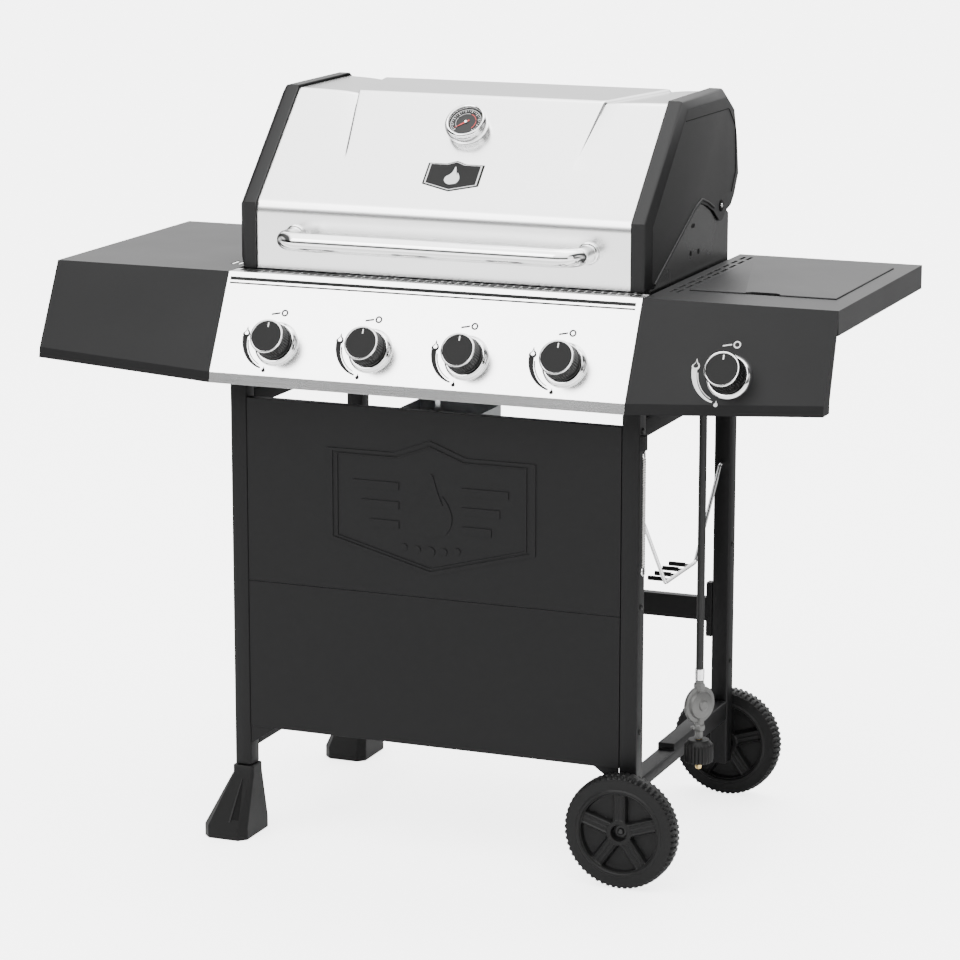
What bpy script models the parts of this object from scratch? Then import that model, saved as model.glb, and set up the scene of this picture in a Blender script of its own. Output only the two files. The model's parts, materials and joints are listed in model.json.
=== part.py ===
"""Gas barbecue grill: cart, firebox, hinged lid, side shelves, side burner and gas train.

Units are metres, +Z up, +X to the right of someone facing the control panel, the panel faces -Y.
Every piece is modelled in the cart's own frame and parented to one datum empty, which puts the
object's origin under the middle of its overall box.
"""
import math

import bmesh
import bpy
from mathutils import Matrix, Vector

# ---------------------------------------------------------------- driving dimensions
GAP = 0.0003                 # air left between pieces that touch

GRILL_WIDTH = 1.270          # over both side shelves
WORKTOP_Z = 0.9005           # floor to the shelf tops
SHELF_FRONT_Y = -0.2285
SHELF_REAR_Y = 0.230
SHELF_SKIRT = 0.037
SHEET = 0.0014               # folded sheet steel
LID_SIDE_GAP = 0.0020        # lid cap to shelf

CART_WIDTH = 0.672           # over the legs
CART_FRONT_Y = -0.235
CART_REAR_Y = 0.236
LEG_X = 0.028
LEG_Y = 0.030
LEG_TOP_DROP = 0.0425
WHEEL_LEG_BOTTOM_Z = 0.064
TOP_RAIL_DROP = 0.2135
TOP_RAIL_H = 0.028
LOWER_RAIL_Z = 0.140
LOWER_RAIL_H = 0.020
SADDLE_BAR_W = 0.022
SADDLE_BAR_H = 0.011
SADDLE_BAR_FRONT_Y = -0.056
BRACE_Z = 0.302
BRACE_H = 0.038
BRACE_DEPTH = 0.016
BRACE_END_H = 0.090
BRACE_END_W = 0.010

FRONT_PANEL_BOTTOM_Z = 0.178
FRONT_PANEL_SEAM_Z = 0.415
FRONT_PANEL_TOP_DROP = 0.1945
FRONT_PANEL_DEPTH = 0.014
GUSSET_DROP = 0.029
GUSSET_W = 0.042

FOOT_TOP_Z = 0.112
FOOT_COLLAR_H = 0.012
FOOT_SKIRT_H = 0.020
FOOT_COLLAR_MARGIN = 0.004
FOOT_OUT_MARGIN = 0.039
FOOT_IN_MARGIN = 0.008
FOOT_END_MARGIN = 0.046
FOOT_INNER_MARGIN = 0.024
FOOT_CHAMFER = 0.012

WHEEL_R = 0.089
WHEEL_W = 0.038
WHEEL_INSET = 0.014          # leg face to the wheel's middle, along X
WHEEL_GAP = 0.003            # wheel to leg face
WHEEL_RIM_R = 0.066
WHEEL_DISH = 0.011
HUB_R = 0.0145
AXLE_R = 0.0050
AXLE_PLAY = 0.0006

CONTROL_PANEL_WIDTH = 0.673
PANEL_TOP_Y = -0.2295        # top front edge of the leaning panel
PANEL_BEND_Y = -0.304
PANEL_BEND_DROP = 0.1445
PANEL_BOTTOM_Y = -0.307
PANEL_BOTTOM_DROP = 0.1605
PANEL_LIP = 0.0325           # horizontal lip behind the panel's top edge
PANEL_RETURN = 0.012         # lip turned in at the bottom edge
FASCIA_RISE = 0.017          # how far the side fascias' bottom edge climbs at the outer end
FASCIA_END_DEPTH = 0.032
VENT_PITCH = 0.019
VENT_LENGTH = 0.013
VENT_WIDTH = 0.005
VENT_COUNT = 31
VENT_BEHIND_EDGE = 0.0145

KNOB_PITCH = 0.156
KNOB_DROP = 0.0985
SIDE_KNOB_X = 0.488
KNOB_R = 0.0275
KNOB_FACE = 0.042            # dial face proud of the panel
KNOB_BASE = 0.011            # knob's back edge proud of the panel
KNOB_ROUND = 0.003           # rounding of the dial's front edge
KNOB_SKIRT = 0.001           # back edge wider than the grip
KNOB_SKIRT_H = 0.004
KNOB_TAPER = 0.001
STEM_IN_KNOB = 0.012
STEM_R = 0.0040
STEM_HOLE_R = 0.0055
STEM_INSIDE = 0.0065         # stem end behind the panel
VALVE_R = 0.0090
VALVE_TOP = 0.0120           # valve face behind the panel
MANIFOLD_R = 0.0080
MANIFOLD_BEHIND = 0.0320     # pipe centre behind the panel
MANIFOLD_END = 0.024         # pipe beyond the outer valves

FIREBOX_WIDTH = 0.600
FIREBOX_FRONT_Y = -0.1850
FIREBOX_REAR_Y = 0.1600
FIREBOX_TOP_DROP = 0.0055
FIREBOX_BOTTOM_DROP = 0.1355
FIREBOX_DRAIN_X = 0.120
FIREBOX_DRAIN_Y = 0.110
FLANGE_DROP = 0.0305            # step where the side plates leave the trough
EAR_GAP = 0.0015             # side plate to lid cap
EAR_REAR_Y = 0.1830

BURNER_R = 0.0110
BURNER_DROP = 0.1025
TAMER_DROP = 0.0755
TAMER_H = 0.0300
TAMER_HALF_W = 0.0500
TAMER_BAR_H = 0.0050
GRATE_DROP = 0.0225
GRATE_H = 0.0120
GRATE_BAR = 0.0070
GRATE_BARS = 16
GRATE_END_BAR = 0.0120
RACK_RISE = 0.1295
RACK_FRONT_Y = -0.0200
RACK_REAR_Y = 0.1000
RACK_BAR = 0.0040
RACK_BARS = 7
RACK_TIES = 6

TRAY_WIDTH = 0.300
TRAY_H = 0.0200
CUP_WIDTH = 0.136
CUP_DEPTH = 0.090
CUP_H = 0.0450
CUP_TOP_DROP = 0.2005
CUP_Y = -0.1600
CUP_WIRE_R = 0.0015

LID_WIDTH = 0.672            # over the end caps
LID_CAP_W = 0.0300           # width of each end cap's band
LID_BOTTOM_RISE = 0.0025
LID_SHEET = 0.0016
HOOD_FOLD_R = 0.0140
CAP_PROUD = 0.0035           # cap's edge outside the hood's skin
CAP_WALL = 0.0015
LOBE_R = 0.0240              # cap's lobe round the pivot
LID_PIVOT_Y = 0.1360
LID_PIVOT_RISE = 0.0895
PIVOT_R = 0.0040
PIVOT_PLAY = 0.0006
HANDLE_R = 0.0140
HANDLE_X = 0.2390
HANDLE_RISE = 0.0555
HANDLE_REACH = 0.0620
HANDLE_BEND_R = 0.0350
GAUGE_R = 0.0335
GAUGE_H = 0.0230
GAUGE_UP_SLOPE = 0.1630      # gauge centre above the hood's lower bend, along the slope

BURNER_LID_X = (0.3770, 0.6050)
BURNER_LID_Y = (-0.1380, 0.1770)
BURNER_LID_CLEAR = 0.0008
BURNER_LID_H = 0.0035
BOWL_DEPTH = 0.0480
SIDE_HEAD_R = 0.0380
SIDE_HEAD_H = 0.0170
SIDE_HINGE_UP = 0.0050       # hinge line above the shelf
SUPPORT_BAR = 0.0050

HOSE_R = 0.0060
HOSE_X = 0.4000
HOSE_Y = -0.1300
HOSE_END_Z = 0.3000
REGULATOR_Z = 0.2620
REGULATOR_R = 0.0290
REGULATOR_W = 0.0240
REGULATOR_TURN = math.radians(60.0)
COLUMN_R = 0.0095
NIPPLE_R = 0.0050
NIPPLE_END_Z = 0.1600
TANK_NUT_R = 0.0225
TANK_NUT_Z = (0.1710, 0.2070)
TANK_NUT_PLAY = 0.0008

WIRE_R = 0.0030
WIRE_INSET = 0.0130
WIRE_PIVOT_DROP = 0.3355
WIRE_LOW_DROP = 0.4685
WIRE_LOW_HALF = 0.0720
WIRE_PRONG = 0.0350
ROD_X_GAP = 0.0050           # lighting rod axis to the leg's face
ROD_Y = -0.2270
ROD_TOP_Z = 0.6640
ROD_BOTTOM_Z = 0.4850
ROD_R = 0.0030
HOOK_GAP = 0.0075            # hook plate above the rod's swing

# ---------------------------------------------------------------- sizes that follow
PANEL_BEND_Z = WORKTOP_Z - PANEL_BEND_DROP
PANEL_BOTTOM_Z = WORKTOP_Z - PANEL_BOTTOM_DROP
KNOB_Z = WORKTOP_Z - KNOB_DROP
LEG_TOP_Z = WORKTOP_Z - LEG_TOP_DROP
FIREBOX_TOP_Z = WORKTOP_Z - FIREBOX_TOP_DROP
FIREBOX_BOTTOM_Z = WORKTOP_Z - FIREBOX_BOTTOM_DROP
FLANGE_Z = WORKTOP_Z - FLANGE_DROP
BURNER_Z = WORKTOP_Z - BURNER_DROP
TAMER_Z = WORKTOP_Z - TAMER_DROP
GRATE_Z = WORKTOP_Z - GRATE_DROP
RACK_Z = WORKTOP_Z + RACK_RISE
CUP_TOP_Z = WORKTOP_Z - CUP_TOP_DROP
LID_BOTTOM_Z = WORKTOP_Z + LID_BOTTOM_RISE
LID_PIVOT_Z = WORKTOP_Z + LID_PIVOT_RISE
HANDLE_Z = WORKTOP_Z + HANDLE_RISE
TOP_RAIL_Z = WORKTOP_Z - TOP_RAIL_DROP
FRONT_PANEL_TOP_Z = WORKTOP_Z - FRONT_PANEL_TOP_DROP
CART_X = CART_WIDTH / 2
WHEEL_X = CART_X - WHEEL_INSET
WIRE_X = CART_X - WIRE_INSET
WIRE_PIVOT_Z = WORKTOP_Z - WIRE_PIVOT_DROP
WIRE_LOW_Z = WORKTOP_Z - WIRE_LOW_DROP
SHELF_END_X = GRILL_WIDTH / 2
PANEL_X = CONTROL_PANEL_WIDTH / 2
LID_X = LID_WIDTH / 2
SHELF_INNER_X = LID_X + LID_SIDE_GAP
FIREBOX_X = FIREBOX_WIDTH / 2
EAR_OUT_X = LID_X - LID_SHEET - EAR_GAP
EAR_IN_X = EAR_OUT_X - SHEET
PANEL_RUN = Vector((0.0, PANEL_BEND_Y - PANEL_TOP_Y, PANEL_BEND_Z - WORKTOP_Z)).normalized()
PANEL_OUT = Vector((0.0, PANEL_RUN.z, -PANEL_RUN.y))
KNOB_Y = PANEL_TOP_Y + (KNOB_Z - WORKTOP_Z) * PANEL_RUN.y / PANEL_RUN.z
KNOB_XS = [KNOB_PITCH * (i - 1.5) for i in range(4)] + [SIDE_KNOB_X]
AXLE_Z = WHEEL_R
FRONT_LEG_Y = (CART_FRONT_Y, CART_FRONT_Y + LEG_Y)
REAR_LEG_Y = (CART_REAR_Y - LEG_Y, CART_REAR_Y)
KNOB_FRONT_Y = KNOB_Y + PANEL_OUT.y * KNOB_FACE + PANEL_RUN.y * (KNOB_R - KNOB_ROUND)
REAR_Y = CART_REAR_Y + max(WHEEL_GAP + WHEEL_W, FOOT_END_MARGIN)
DATUM_Y = -(KNOB_FRONT_Y + REAR_Y) / 2

# The hood's side outline, (y, z), from the front bottom edge over the top to the rear edge.
HOOD = [(y, LID_BOTTOM_Z + rise) for y, rise in
        ((-0.1950, 0.0), (-0.1950, 0.1000), (-0.0330, 0.2625), (0.1600, 0.2630),
         (0.2050, 0.2360), (0.2220, 0.1870), (0.2215, 0.1670))]
CAP_REAR = [(0.2246, 0.1860), (0.2216, 0.1280), (0.2010, 0.0960), (0.1850, 0.0820)]
CAP_BELOW = [(0.1000, 0.0830), (0.0700, 0.0950), (0.0410, 0.1030), (0.0130, 0.0950), (-0.1760, 0.0030)]
HOOD_SLOPE = (Vector((0.0, *HOOD[2])) - Vector((0.0, *HOOD[1]))).normalized()
HOOD_OUT = Vector((0.0, -HOOD_SLOPE.z, HOOD_SLOPE.y))


def clear_scene():
    """Remove every object of the open file."""
    for old in list(bpy.data.objects):
        bpy.data.objects.remove(old, do_unlink=True)


# ---------------------------------------------------------------- materials
def finish(name, colour, roughness, metallic=0.0):
    """A plain Principled material."""
    mat = bpy.data.materials.new(name)
    mat.use_nodes = True
    shader = mat.node_tree.nodes["Principled BSDF"]
    shader.inputs["Base Color"].default_value = (*colour, 1.0)
    shader.inputs["Roughness"].default_value = roughness
    shader.inputs["Metallic"].default_value = metallic
    return mat


clear_scene()
STEEL = finish("brushed_steel", (0.72, 0.72, 0.71), 0.28, 1.0)
CHROME = finish("chrome_wire", (0.80, 0.80, 0.80), 0.12, 1.0)
PAINT = finish("charcoal_paint", (0.035, 0.035, 0.036), 0.45)
SHELF_PAINT = finish("shelf_paint", (0.050, 0.050, 0.052), 0.40)
ENAMEL = finish("black_enamel", (0.015, 0.015, 0.015), 0.35)
CAST = finish("cast_iron", (0.045, 0.042, 0.040), 0.65, 0.3)
PLASTIC = finish("black_plastic", (0.020, 0.020, 0.021), 0.50)
ZINC = finish("zinc_casting", (0.38, 0.38, 0.37), 0.45, 0.9)
BRASS = finish("brass", (0.62, 0.47, 0.22), 0.35, 1.0)
GALVANISED = finish("galvanised_sheet", (0.55, 0.56, 0.57), 0.40, 1.0)
RUBBER = finish("black_rubber", (0.018, 0.018, 0.018), 0.70)

DATUM = bpy.data.objects.new("grill_datum", None)
DATUM.location = (0.0, DATUM_Y, 0.0)
bpy.context.scene.collection.objects.link(DATUM)


# ---------------------------------------------------------------- shape helpers
def place(name, bm, mat, origin=(0.0, 0.0, 0.0), smooth=None):
    """Turn a bmesh built in the cart frame into an object whose origin is at `origin`."""
    bmesh.ops.recalc_face_normals(bm, faces=bm.faces)
    bmesh.ops.translate(bm, verts=bm.verts, vec=-Vector(origin))
    mesh = bpy.data.meshes.new(name)
    bm.to_mesh(mesh)
    bm.free()
    if smooth is not None:
        mesh.shade_smooth()
        mesh.set_sharp_from_angle(angle=math.radians(smooth))
    mesh.materials.append(mat)
    obj = bpy.data.objects.new(name, mesh)
    bpy.context.scene.collection.objects.link(obj)
    obj.parent = DATUM
    obj.location = origin
    return obj


def box_bm(lo, hi):
    """A box between two corners."""
    bm = bmesh.new()
    size = Vector(hi) - Vector(lo)
    middle = (Vector(hi) + Vector(lo)) / 2
    bmesh.ops.create_cube(bm, size=1.0, matrix=Matrix.Translation(middle) @ Matrix.Diagonal((*size, 1.0)))
    return bm


def loft_bm(rings):
    """Skin equal rings of points and close both ends."""
    bm = bmesh.new()
    rows = [[bm.verts.new(p) for p in ring] for ring in rings]
    count = len(rows[0])
    for low, high in zip(rows, rows[1:]):
        for i in range(count):
            j = (i + 1) % count
            bm.faces.new((low[i], low[j], high[j], high[i]))
    bm.faces.new(list(reversed(rows[0])))
    bm.faces.new(rows[-1])
    return bm


def prism_bm(outline, x0, x1):
    """A (y, z) outline carried from x0 to x1."""
    return loft_bm([[(x, y, z) for y, z in outline] for x in (x0, x1)])


def frame_on(axis, centre):
    """A matrix whose local Z lies along `axis` at `centre`."""
    turn = Vector((0.0, 0.0, 1.0)).rotation_difference(Vector(axis)).to_matrix().to_4x4()
    return Matrix.Translation(centre) @ turn


def lathe_bm(profile, axis, centre, steps=32):
    """Turn a profile of (radius, height) round an axis; a first and last radius of 0 close on it.

    A profile that never reaches the axis is closed on itself, which leaves a bore.
    """
    bm = bmesh.new()
    solid = profile[0][0] == 0.0
    rows = []
    for radius, height in profile:
        if radius == 0.0:
            rows.append([bm.verts.new((0.0, 0.0, height))])
            continue
        angles = [2 * math.pi * i / steps for i in range(steps)]
        rows.append([bm.verts.new((radius * math.cos(a), radius * math.sin(a), height)) for a in angles])
    pairs = list(zip(rows, rows[1:]))
    if not solid:
        pairs.append((rows[-1], rows[0]))
    for low, high in pairs:
        for i in range(steps):
            j = (i + 1) % steps
            if len(low) == 1:
                bm.faces.new((low[0], high[j], high[i]))
            elif len(high) == 1:
                bm.faces.new((low[i], low[j], high[0]))
            else:
                bm.faces.new((low[i], low[j], high[j], high[i]))
    bmesh.ops.transform(bm, matrix=frame_on(axis, centre), verts=bm.verts)
    return bm


def cells_bm(xs, ys, zs, solid):
    """A solid made of the cells of a box grid for which solid(i, j, k) is true."""
    bm = bmesh.new()
    corners = {}

    def corner(i, j, k):
        if (i, j, k) not in corners:
            corners[i, j, k] = bm.verts.new((xs[i], ys[j], zs[k]))
        return corners[i, j, k]

    def filled(i, j, k):
        inside = 0 <= i < len(xs) - 1 and 0 <= j < len(ys) - 1 and 0 <= k < len(zs) - 1
        return inside and solid(i, j, k)

    sides = [((1, 0, 0), ((1, 0, 0), (1, 1, 0), (1, 1, 1), (1, 0, 1))),
             ((-1, 0, 0), ((0, 0, 0), (0, 0, 1), (0, 1, 1), (0, 1, 0))),
             ((0, 1, 0), ((0, 1, 0), (0, 1, 1), (1, 1, 1), (1, 1, 0))),
             ((0, -1, 0), ((0, 0, 0), (1, 0, 0), (1, 0, 1), (0, 0, 1))),
             ((0, 0, 1), ((0, 0, 1), (1, 0, 1), (1, 1, 1), (0, 1, 1))),
             ((0, 0, -1), ((0, 0, 0), (0, 1, 0), (1, 1, 0), (1, 0, 0)))]
    for i in range(len(xs) - 1):
        for j in range(len(ys) - 1):
            for k in range(len(zs) - 1):
                if not filled(i, j, k):
                    continue
                for step, quad in sides:
                    if not filled(i + step[0], j + step[1], k + step[2]):
                        bm.faces.new([corner(i + a, j + b, k + c) for a, b, c in quad])
    return bm


def pan_bm(lo, hi, wall, open_side):
    """A box of sheet with one side left open; open_side is +Z, -Z or +Y."""
    axis = {"Z": 2, "Y": 1}[open_side[1]]
    lines = [[lo[a], lo[a] + wall, hi[a] - wall, hi[a]] for a in range(3)]
    if open_side[0] == "+":
        lines[axis] = [lo[axis], lo[axis] + wall, hi[axis]]
        floor = 0
    else:
        lines[axis] = [lo[axis], hi[axis] - wall, hi[axis]]
        floor = 1

    def solid(*cell):
        rim = any(cell[a] != 1 for a in range(3) if a != axis)
        return rim or cell[axis] == floor

    return cells_bm(*lines, solid)


def sheet_outline(line, thick):
    """Close an open (y, z) line into a sheet of one thickness, the material on its right."""
    normals = []
    for (ya, za), (yb, zb) in zip(line, line[1:]):
        normals.append(Vector((zb - za, -(yb - ya))).normalized())
    inner = []
    for i, point in enumerate(line):
        before = normals[max(i - 1, 0)]
        after = normals[min(i, len(normals) - 1)]
        mitre = (before + after) / (1.0 + before.dot(after))
        inner.append((point[0] + mitre.x * thick, point[1] + mitre.y * thick))
    return list(line) + inner[::-1]


def box(name, lo, hi, mat, bevel=0.0, origin=(0.0, 0.0, 0.0)):
    """A box, with its edges rounded by a Bevel modifier where a width is given."""
    obj = place(name, box_bm(lo, hi), mat, origin)
    if bevel:
        round_edges(obj, bevel)
    return obj


def round_edges(obj, width, segments=2, angle=40.0):
    """Round an object's sharp edges."""
    mod = obj.modifiers.new("rounded", "BEVEL")
    mod.width = width
    mod.segments = segments
    mod.limit_method = "ANGLE"
    mod.angle_limit = math.radians(angle)


def guide(bm, name):
    """A cutter or an added lump: an object that a Boolean reads and the build leaves out."""
    obj = place(name, bm, PAINT)
    obj.hide_render = True
    obj.display_type = "WIRE"
    return obj


def boolean(obj, bm, operation):
    """Join a shape to an object, or cut it out of it."""
    mod = obj.modifiers.new(operation.lower(), "BOOLEAN")
    mod.operation = operation
    mod.solver = "EXACT"
    mod.object = guide(bm, obj.name + "_" + operation.lower() + str(len(obj.modifiers)))
    return obj


def join(obj, bm):
    """Unite a shape with an object."""
    return boolean(obj, bm, "UNION")


def cut(obj, bm):
    """Take a shape out of an object."""
    return boolean(obj, bm, "DIFFERENCE")


def tube(name, points, radius, mat, resolution=2, cyclic=False, origin=(0.0, 0.0, 0.0)):
    """A round tube along a polyline, its ends filled."""
    curve = bpy.data.curves.new(name, "CURVE")
    curve.dimensions = "3D"
    curve.bevel_depth = radius
    curve.bevel_resolution = resolution
    curve.use_fill_caps = True
    spline = curve.splines.new("POLY")
    spline.points.add(len(points) - 1)
    for slot, point in zip(spline.points, points):
        slot.co = (*(Vector(point) - Vector(origin)), 1.0)
    spline.use_cyclic_u = cyclic
    curve.materials.append(mat)
    obj = bpy.data.objects.new(name, curve)
    bpy.context.scene.collection.objects.link(obj)
    obj.parent = DATUM
    obj.location = origin
    return obj


def rod_bm(a, b, radius, steps=12):
    """A round bar from one point to another."""
    axis = Vector(b) - Vector(a)
    profile = [(0.0, 0.0), (radius, 0.0), (radius, axis.length), (0.0, axis.length)]
    return lathe_bm(profile, axis, a, steps)


def sweep_bm(points, radius, across, steps=10):
    """A round bar along a flat polyline; `across` is the normal of the plane it lies in."""
    points = [Vector(p) for p in points]
    across = Vector(across)
    rings = []
    for i, point in enumerate(points):
        back = (point - points[i - 1]).normalized() if i else None
        ahead = (points[i + 1] - point).normalized() if i < len(points) - 1 else None
        along = ((back or ahead) + (ahead or back)).normalized()
        side = along.cross(across)
        angles = [2 * math.pi * k / steps for k in range(steps)]
        rings.append([point + side * (radius * math.cos(a)) + across * (radius * math.sin(a)) for a in angles])
    return loft_bm(rings)


def rounded_path(points, radius, steps=5):
    """A polyline with each inner corner replaced by an arc of one radius."""
    path = [Vector(points[0])]
    for before, corner, after in zip(points, points[1:], points[2:]):
        corner = Vector(corner)
        to_a = (Vector(before) - corner).normalized()
        to_b = (Vector(after) - corner).normalized()
        half = to_a.angle(to_b) / 2
        setback = radius / math.tan(half)
        centre = corner + (to_a + to_b).normalized() * (radius / math.sin(half))
        start = corner + to_a * setback - centre
        end = corner + to_b * setback - centre
        for i in range(steps + 1):
            path.append(centre + start.lerp(end, i / steps).normalized() * radius)
    path.append(Vector(points[-1]))
    return path


def smooth_route(points, per_span=4):
    """A Catmull-Rom curve through a route's own points, straight at both ends."""
    pts = [Vector(p) for p in points]
    pts = [pts[0] * 2 - pts[1]] + pts + [pts[-1] * 2 - pts[-2]]
    route = []
    for a, b, c, d in zip(pts, pts[1:], pts[2:], pts[3:]):
        for i in range(per_span):
            t = i / per_span
            route.append(((b * 2) + (c - a) * t + (a * 2 - b * 5 + c * 4 - d) * t * t
                          + (b * 3 - a - c * 3 + d) * t * t * t) / 2)
    route.append(pts[-2])
    return route


# ---------------------------------------------------------------- cart
def make_legs():
    """Four box-section legs; two stop above the floor, and one carries the lighting rod's hook."""
    for side, sx in (("left", -1), ("right", 1)):
        for end, (y0, y1) in (("front", FRONT_LEG_Y), ("rear", REAR_LEG_Y)):
            inner = sx * (CART_X - LEG_X)
            outer = sx * CART_X
            bottom = WHEEL_LEG_BOTTOM_Z if sx > 0 else FOOT_TOP_Z + GAP
            leg = box(f"{end}_{side}_leg", (min(inner, outer), y0, bottom),
                      (max(inner, outer), y1, LEG_TOP_Z), PAINT, bevel=0.0025)
            if end == "front" and side == "right":
                join(leg, box_bm((CART_X - 0.004, ROD_Y - 0.006, ROD_TOP_Z + HOOK_GAP),
                                 (CART_X + ROD_X_GAP + 0.003, ROD_Y + 0.006, ROD_TOP_Z + 0.030)))


def make_rails():
    """Side rails between the legs, the right lower one with the raised bar that locks the tank's foot."""
    y0 = FRONT_LEG_Y[1] + GAP
    y1 = REAR_LEG_Y[0] - GAP
    for side, sx in (("left", -1), ("right", 1)):
        x0, x1 = sorted((sx * (CART_X - LEG_X), sx * CART_X))
        box(f"{side}_top_rail", (x0, y0, TOP_RAIL_Z), (x1, y1, TOP_RAIL_Z + TOP_RAIL_H), PAINT, bevel=0.002)
    rail_top = LOWER_RAIL_Z + LOWER_RAIL_H
    box("left_lower_rail", (-CART_X, y0, LOWER_RAIL_Z), (LEG_X - CART_X, y1, rail_top), PAINT, bevel=0.002)
    inner = CART_X - LEG_X
    profile = [(y0, LOWER_RAIL_Z), (y1, LOWER_RAIL_Z), (y1, rail_top + SADDLE_BAR_H),
               (SADDLE_BAR_FRONT_Y, rail_top + SADDLE_BAR_H), (SADDLE_BAR_FRONT_Y, rail_top), (y0, rail_top)]
    rail = place("right_lower_rail", prism_bm(profile, inner, CART_X), PAINT)
    round_edges(rail, 0.002)

    end_x = CART_X - LEG_X - GAP
    xs = [-end_x, BRACE_END_W - end_x, end_x - BRACE_END_W, end_x]
    below = (BRACE_END_H - BRACE_H) / 2
    zs = [BRACE_Z - below, BRACE_Z, BRACE_Z + BRACE_H, BRACE_Z + BRACE_H + below]
    ys = [REAR_LEG_Y[0], REAR_LEG_Y[0] + BRACE_DEPTH]
    place("rear_brace", cells_bm(xs, ys, zs, lambda i, j, k: i != 1 or k == 1), PAINT)


def make_front_panels():
    """Two folded front panels, one above the other, between the front legs."""
    x1 = CART_X - LEG_X - GAP
    back = CART_FRONT_Y + FRONT_PANEL_DEPTH
    upper = pan_bm((-x1, CART_FRONT_Y, FRONT_PANEL_SEAM_Z + GAP), (x1, back, FRONT_PANEL_TOP_Z), SHEET, "+Y")
    place("upper_front_panel", upper, PAINT)
    lower = pan_bm((-x1, CART_FRONT_Y, FRONT_PANEL_BOTTOM_Z), (x1, back, FRONT_PANEL_SEAM_Z - GAP), SHEET, "+Y")
    panel = place("lower_front_panel", lower, PAINT)
    z = FRONT_PANEL_BOTTOM_Z
    for sx in (-1, 1):
        outline = [(sx * x1, z + SHEET / 2), (sx * (x1 - GUSSET_W), z + SHEET / 2), (sx * x1, z - GUSSET_DROP)]
        join(panel, loft_bm([[(x, y, zz) for x, zz in outline]
                             for y in (CART_FRONT_Y + SHEET, CART_FRONT_Y + 2 * SHEET)]))


def foot_ring(z, x0, x1, y0, y1, chamfer):
    """An eight-sided outline: a rectangle with its corners cut."""
    c = chamfer
    return [(x0 + c, y0, z), (x1 - c, y0, z), (x1, y0 + c, z), (x1, y1 - c, z),
            (x1 - c, y1, z), (x0 + c, y1, z), (x0, y1 - c, z), (x0, y0 + c, z)]


def make_feet():
    """Moulded feet under the two left legs: collar, flared skirt and a flat base."""
    for end, (y0, y1), ahead in (("front", FRONT_LEG_Y, -1), ("rear", REAR_LEG_Y, 1)):
        x0 = -CART_X
        x1 = LEG_X - CART_X
        grow_front = FOOT_END_MARGIN if ahead < 0 else FOOT_INNER_MARGIN
        grow_rear = FOOT_END_MARGIN if ahead > 0 else FOOT_INNER_MARGIN
        wide = (x0 - FOOT_OUT_MARGIN, x1 + FOOT_IN_MARGIN, y0 - grow_front, y1 + grow_rear)
        m = FOOT_COLLAR_MARGIN
        slim = (x0 - m, x1 + m, y0 - m, y1 + m)
        collar = FOOT_TOP_Z - FOOT_COLLAR_H
        rings = [foot_ring(0.0, *wide, FOOT_CHAMFER), foot_ring(FOOT_SKIRT_H, *wide, FOOT_CHAMFER),
                 foot_ring(collar, *slim, m), foot_ring(FOOT_TOP_Z, *slim, m)]
        place(f"{end}_left_foot", loft_bm(rings), PLASTIC)


def make_wheels():
    """Two moulded wheels on shouldered bolts that screw into the right legs."""
    for end, face, out in (("front", FRONT_LEG_Y[0], -1), ("rear", REAR_LEG_Y[1], 1)):
        inner = face + out * WHEEL_GAP
        centre = (WHEEL_X, inner, AXLE_Z)
        axis = (0.0, out, 0.0)
        bore = AXLE_R + AXLE_PLAY
        dish = WHEEL_W - WHEEL_DISH
        edge = 0.006
        profile = [(bore, 0.0), (WHEEL_R - edge, 0.0), (WHEEL_R, edge), (WHEEL_R, WHEEL_W - edge),
                   (WHEEL_R - edge, WHEEL_W), (WHEEL_RIM_R, WHEEL_W), (WHEEL_RIM_R - 0.003, dish),
                   (HUB_R + 0.010, dish), (HUB_R + 0.007, WHEEL_W - 0.003), (HUB_R, WHEEL_W - 0.003),
                   (HUB_R, dish), (bore, dish)]
        wheel = lathe_bm(profile, axis, centre, 48)
        place(f"{end}_wheel", wheel, PLASTIC, origin=centre, smooth=35)
        start = -WHEEL_GAP + GAP
        head = dish + 0.0008
        bolt = [(0.0, start), (AXLE_R, start), (AXLE_R, head), (HUB_R - 0.004, head),
                (HUB_R - 0.004, head + 0.004), (HUB_R - 0.007, head + 0.007), (0.0, head + 0.007)]
        place(f"{end}_axle_bolt", lathe_bm(bolt, axis, centre, 24), ZINC, smooth=35)


# ---------------------------------------------------------------- control panel and shelves
def panel_line(rise):
    """The control panel's folded section, (y, z), outer face, from the bottom return to the top lip.

    A rise slides the bottom fold up the panel's own plane, so a fascia that climbs stays flat.
    """
    back = rise * PANEL_RUN.y / PANEL_RUN.z
    return [(PANEL_BOTTOM_Y + PANEL_RETURN + back, PANEL_BOTTOM_Z + rise),
            (PANEL_BOTTOM_Y + back, PANEL_BOTTOM_Z + rise), (PANEL_BEND_Y + back, PANEL_BEND_Z + rise),
            (PANEL_TOP_Y, WORKTOP_Z), (PANEL_TOP_Y + PANEL_LIP, WORKTOP_Z)]


def on_panel(x, out):
    """A point on a knob's axis, a distance in front of the panel."""
    return Vector((x, KNOB_Y, KNOB_Z)) + PANEL_OUT * out


def stem_hole(x):
    """The cutter of a valve stem's hole."""
    return rod_bm(on_panel(x, -0.01), on_panel(x, 0.01), STEM_HOLE_R, 16)


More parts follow.
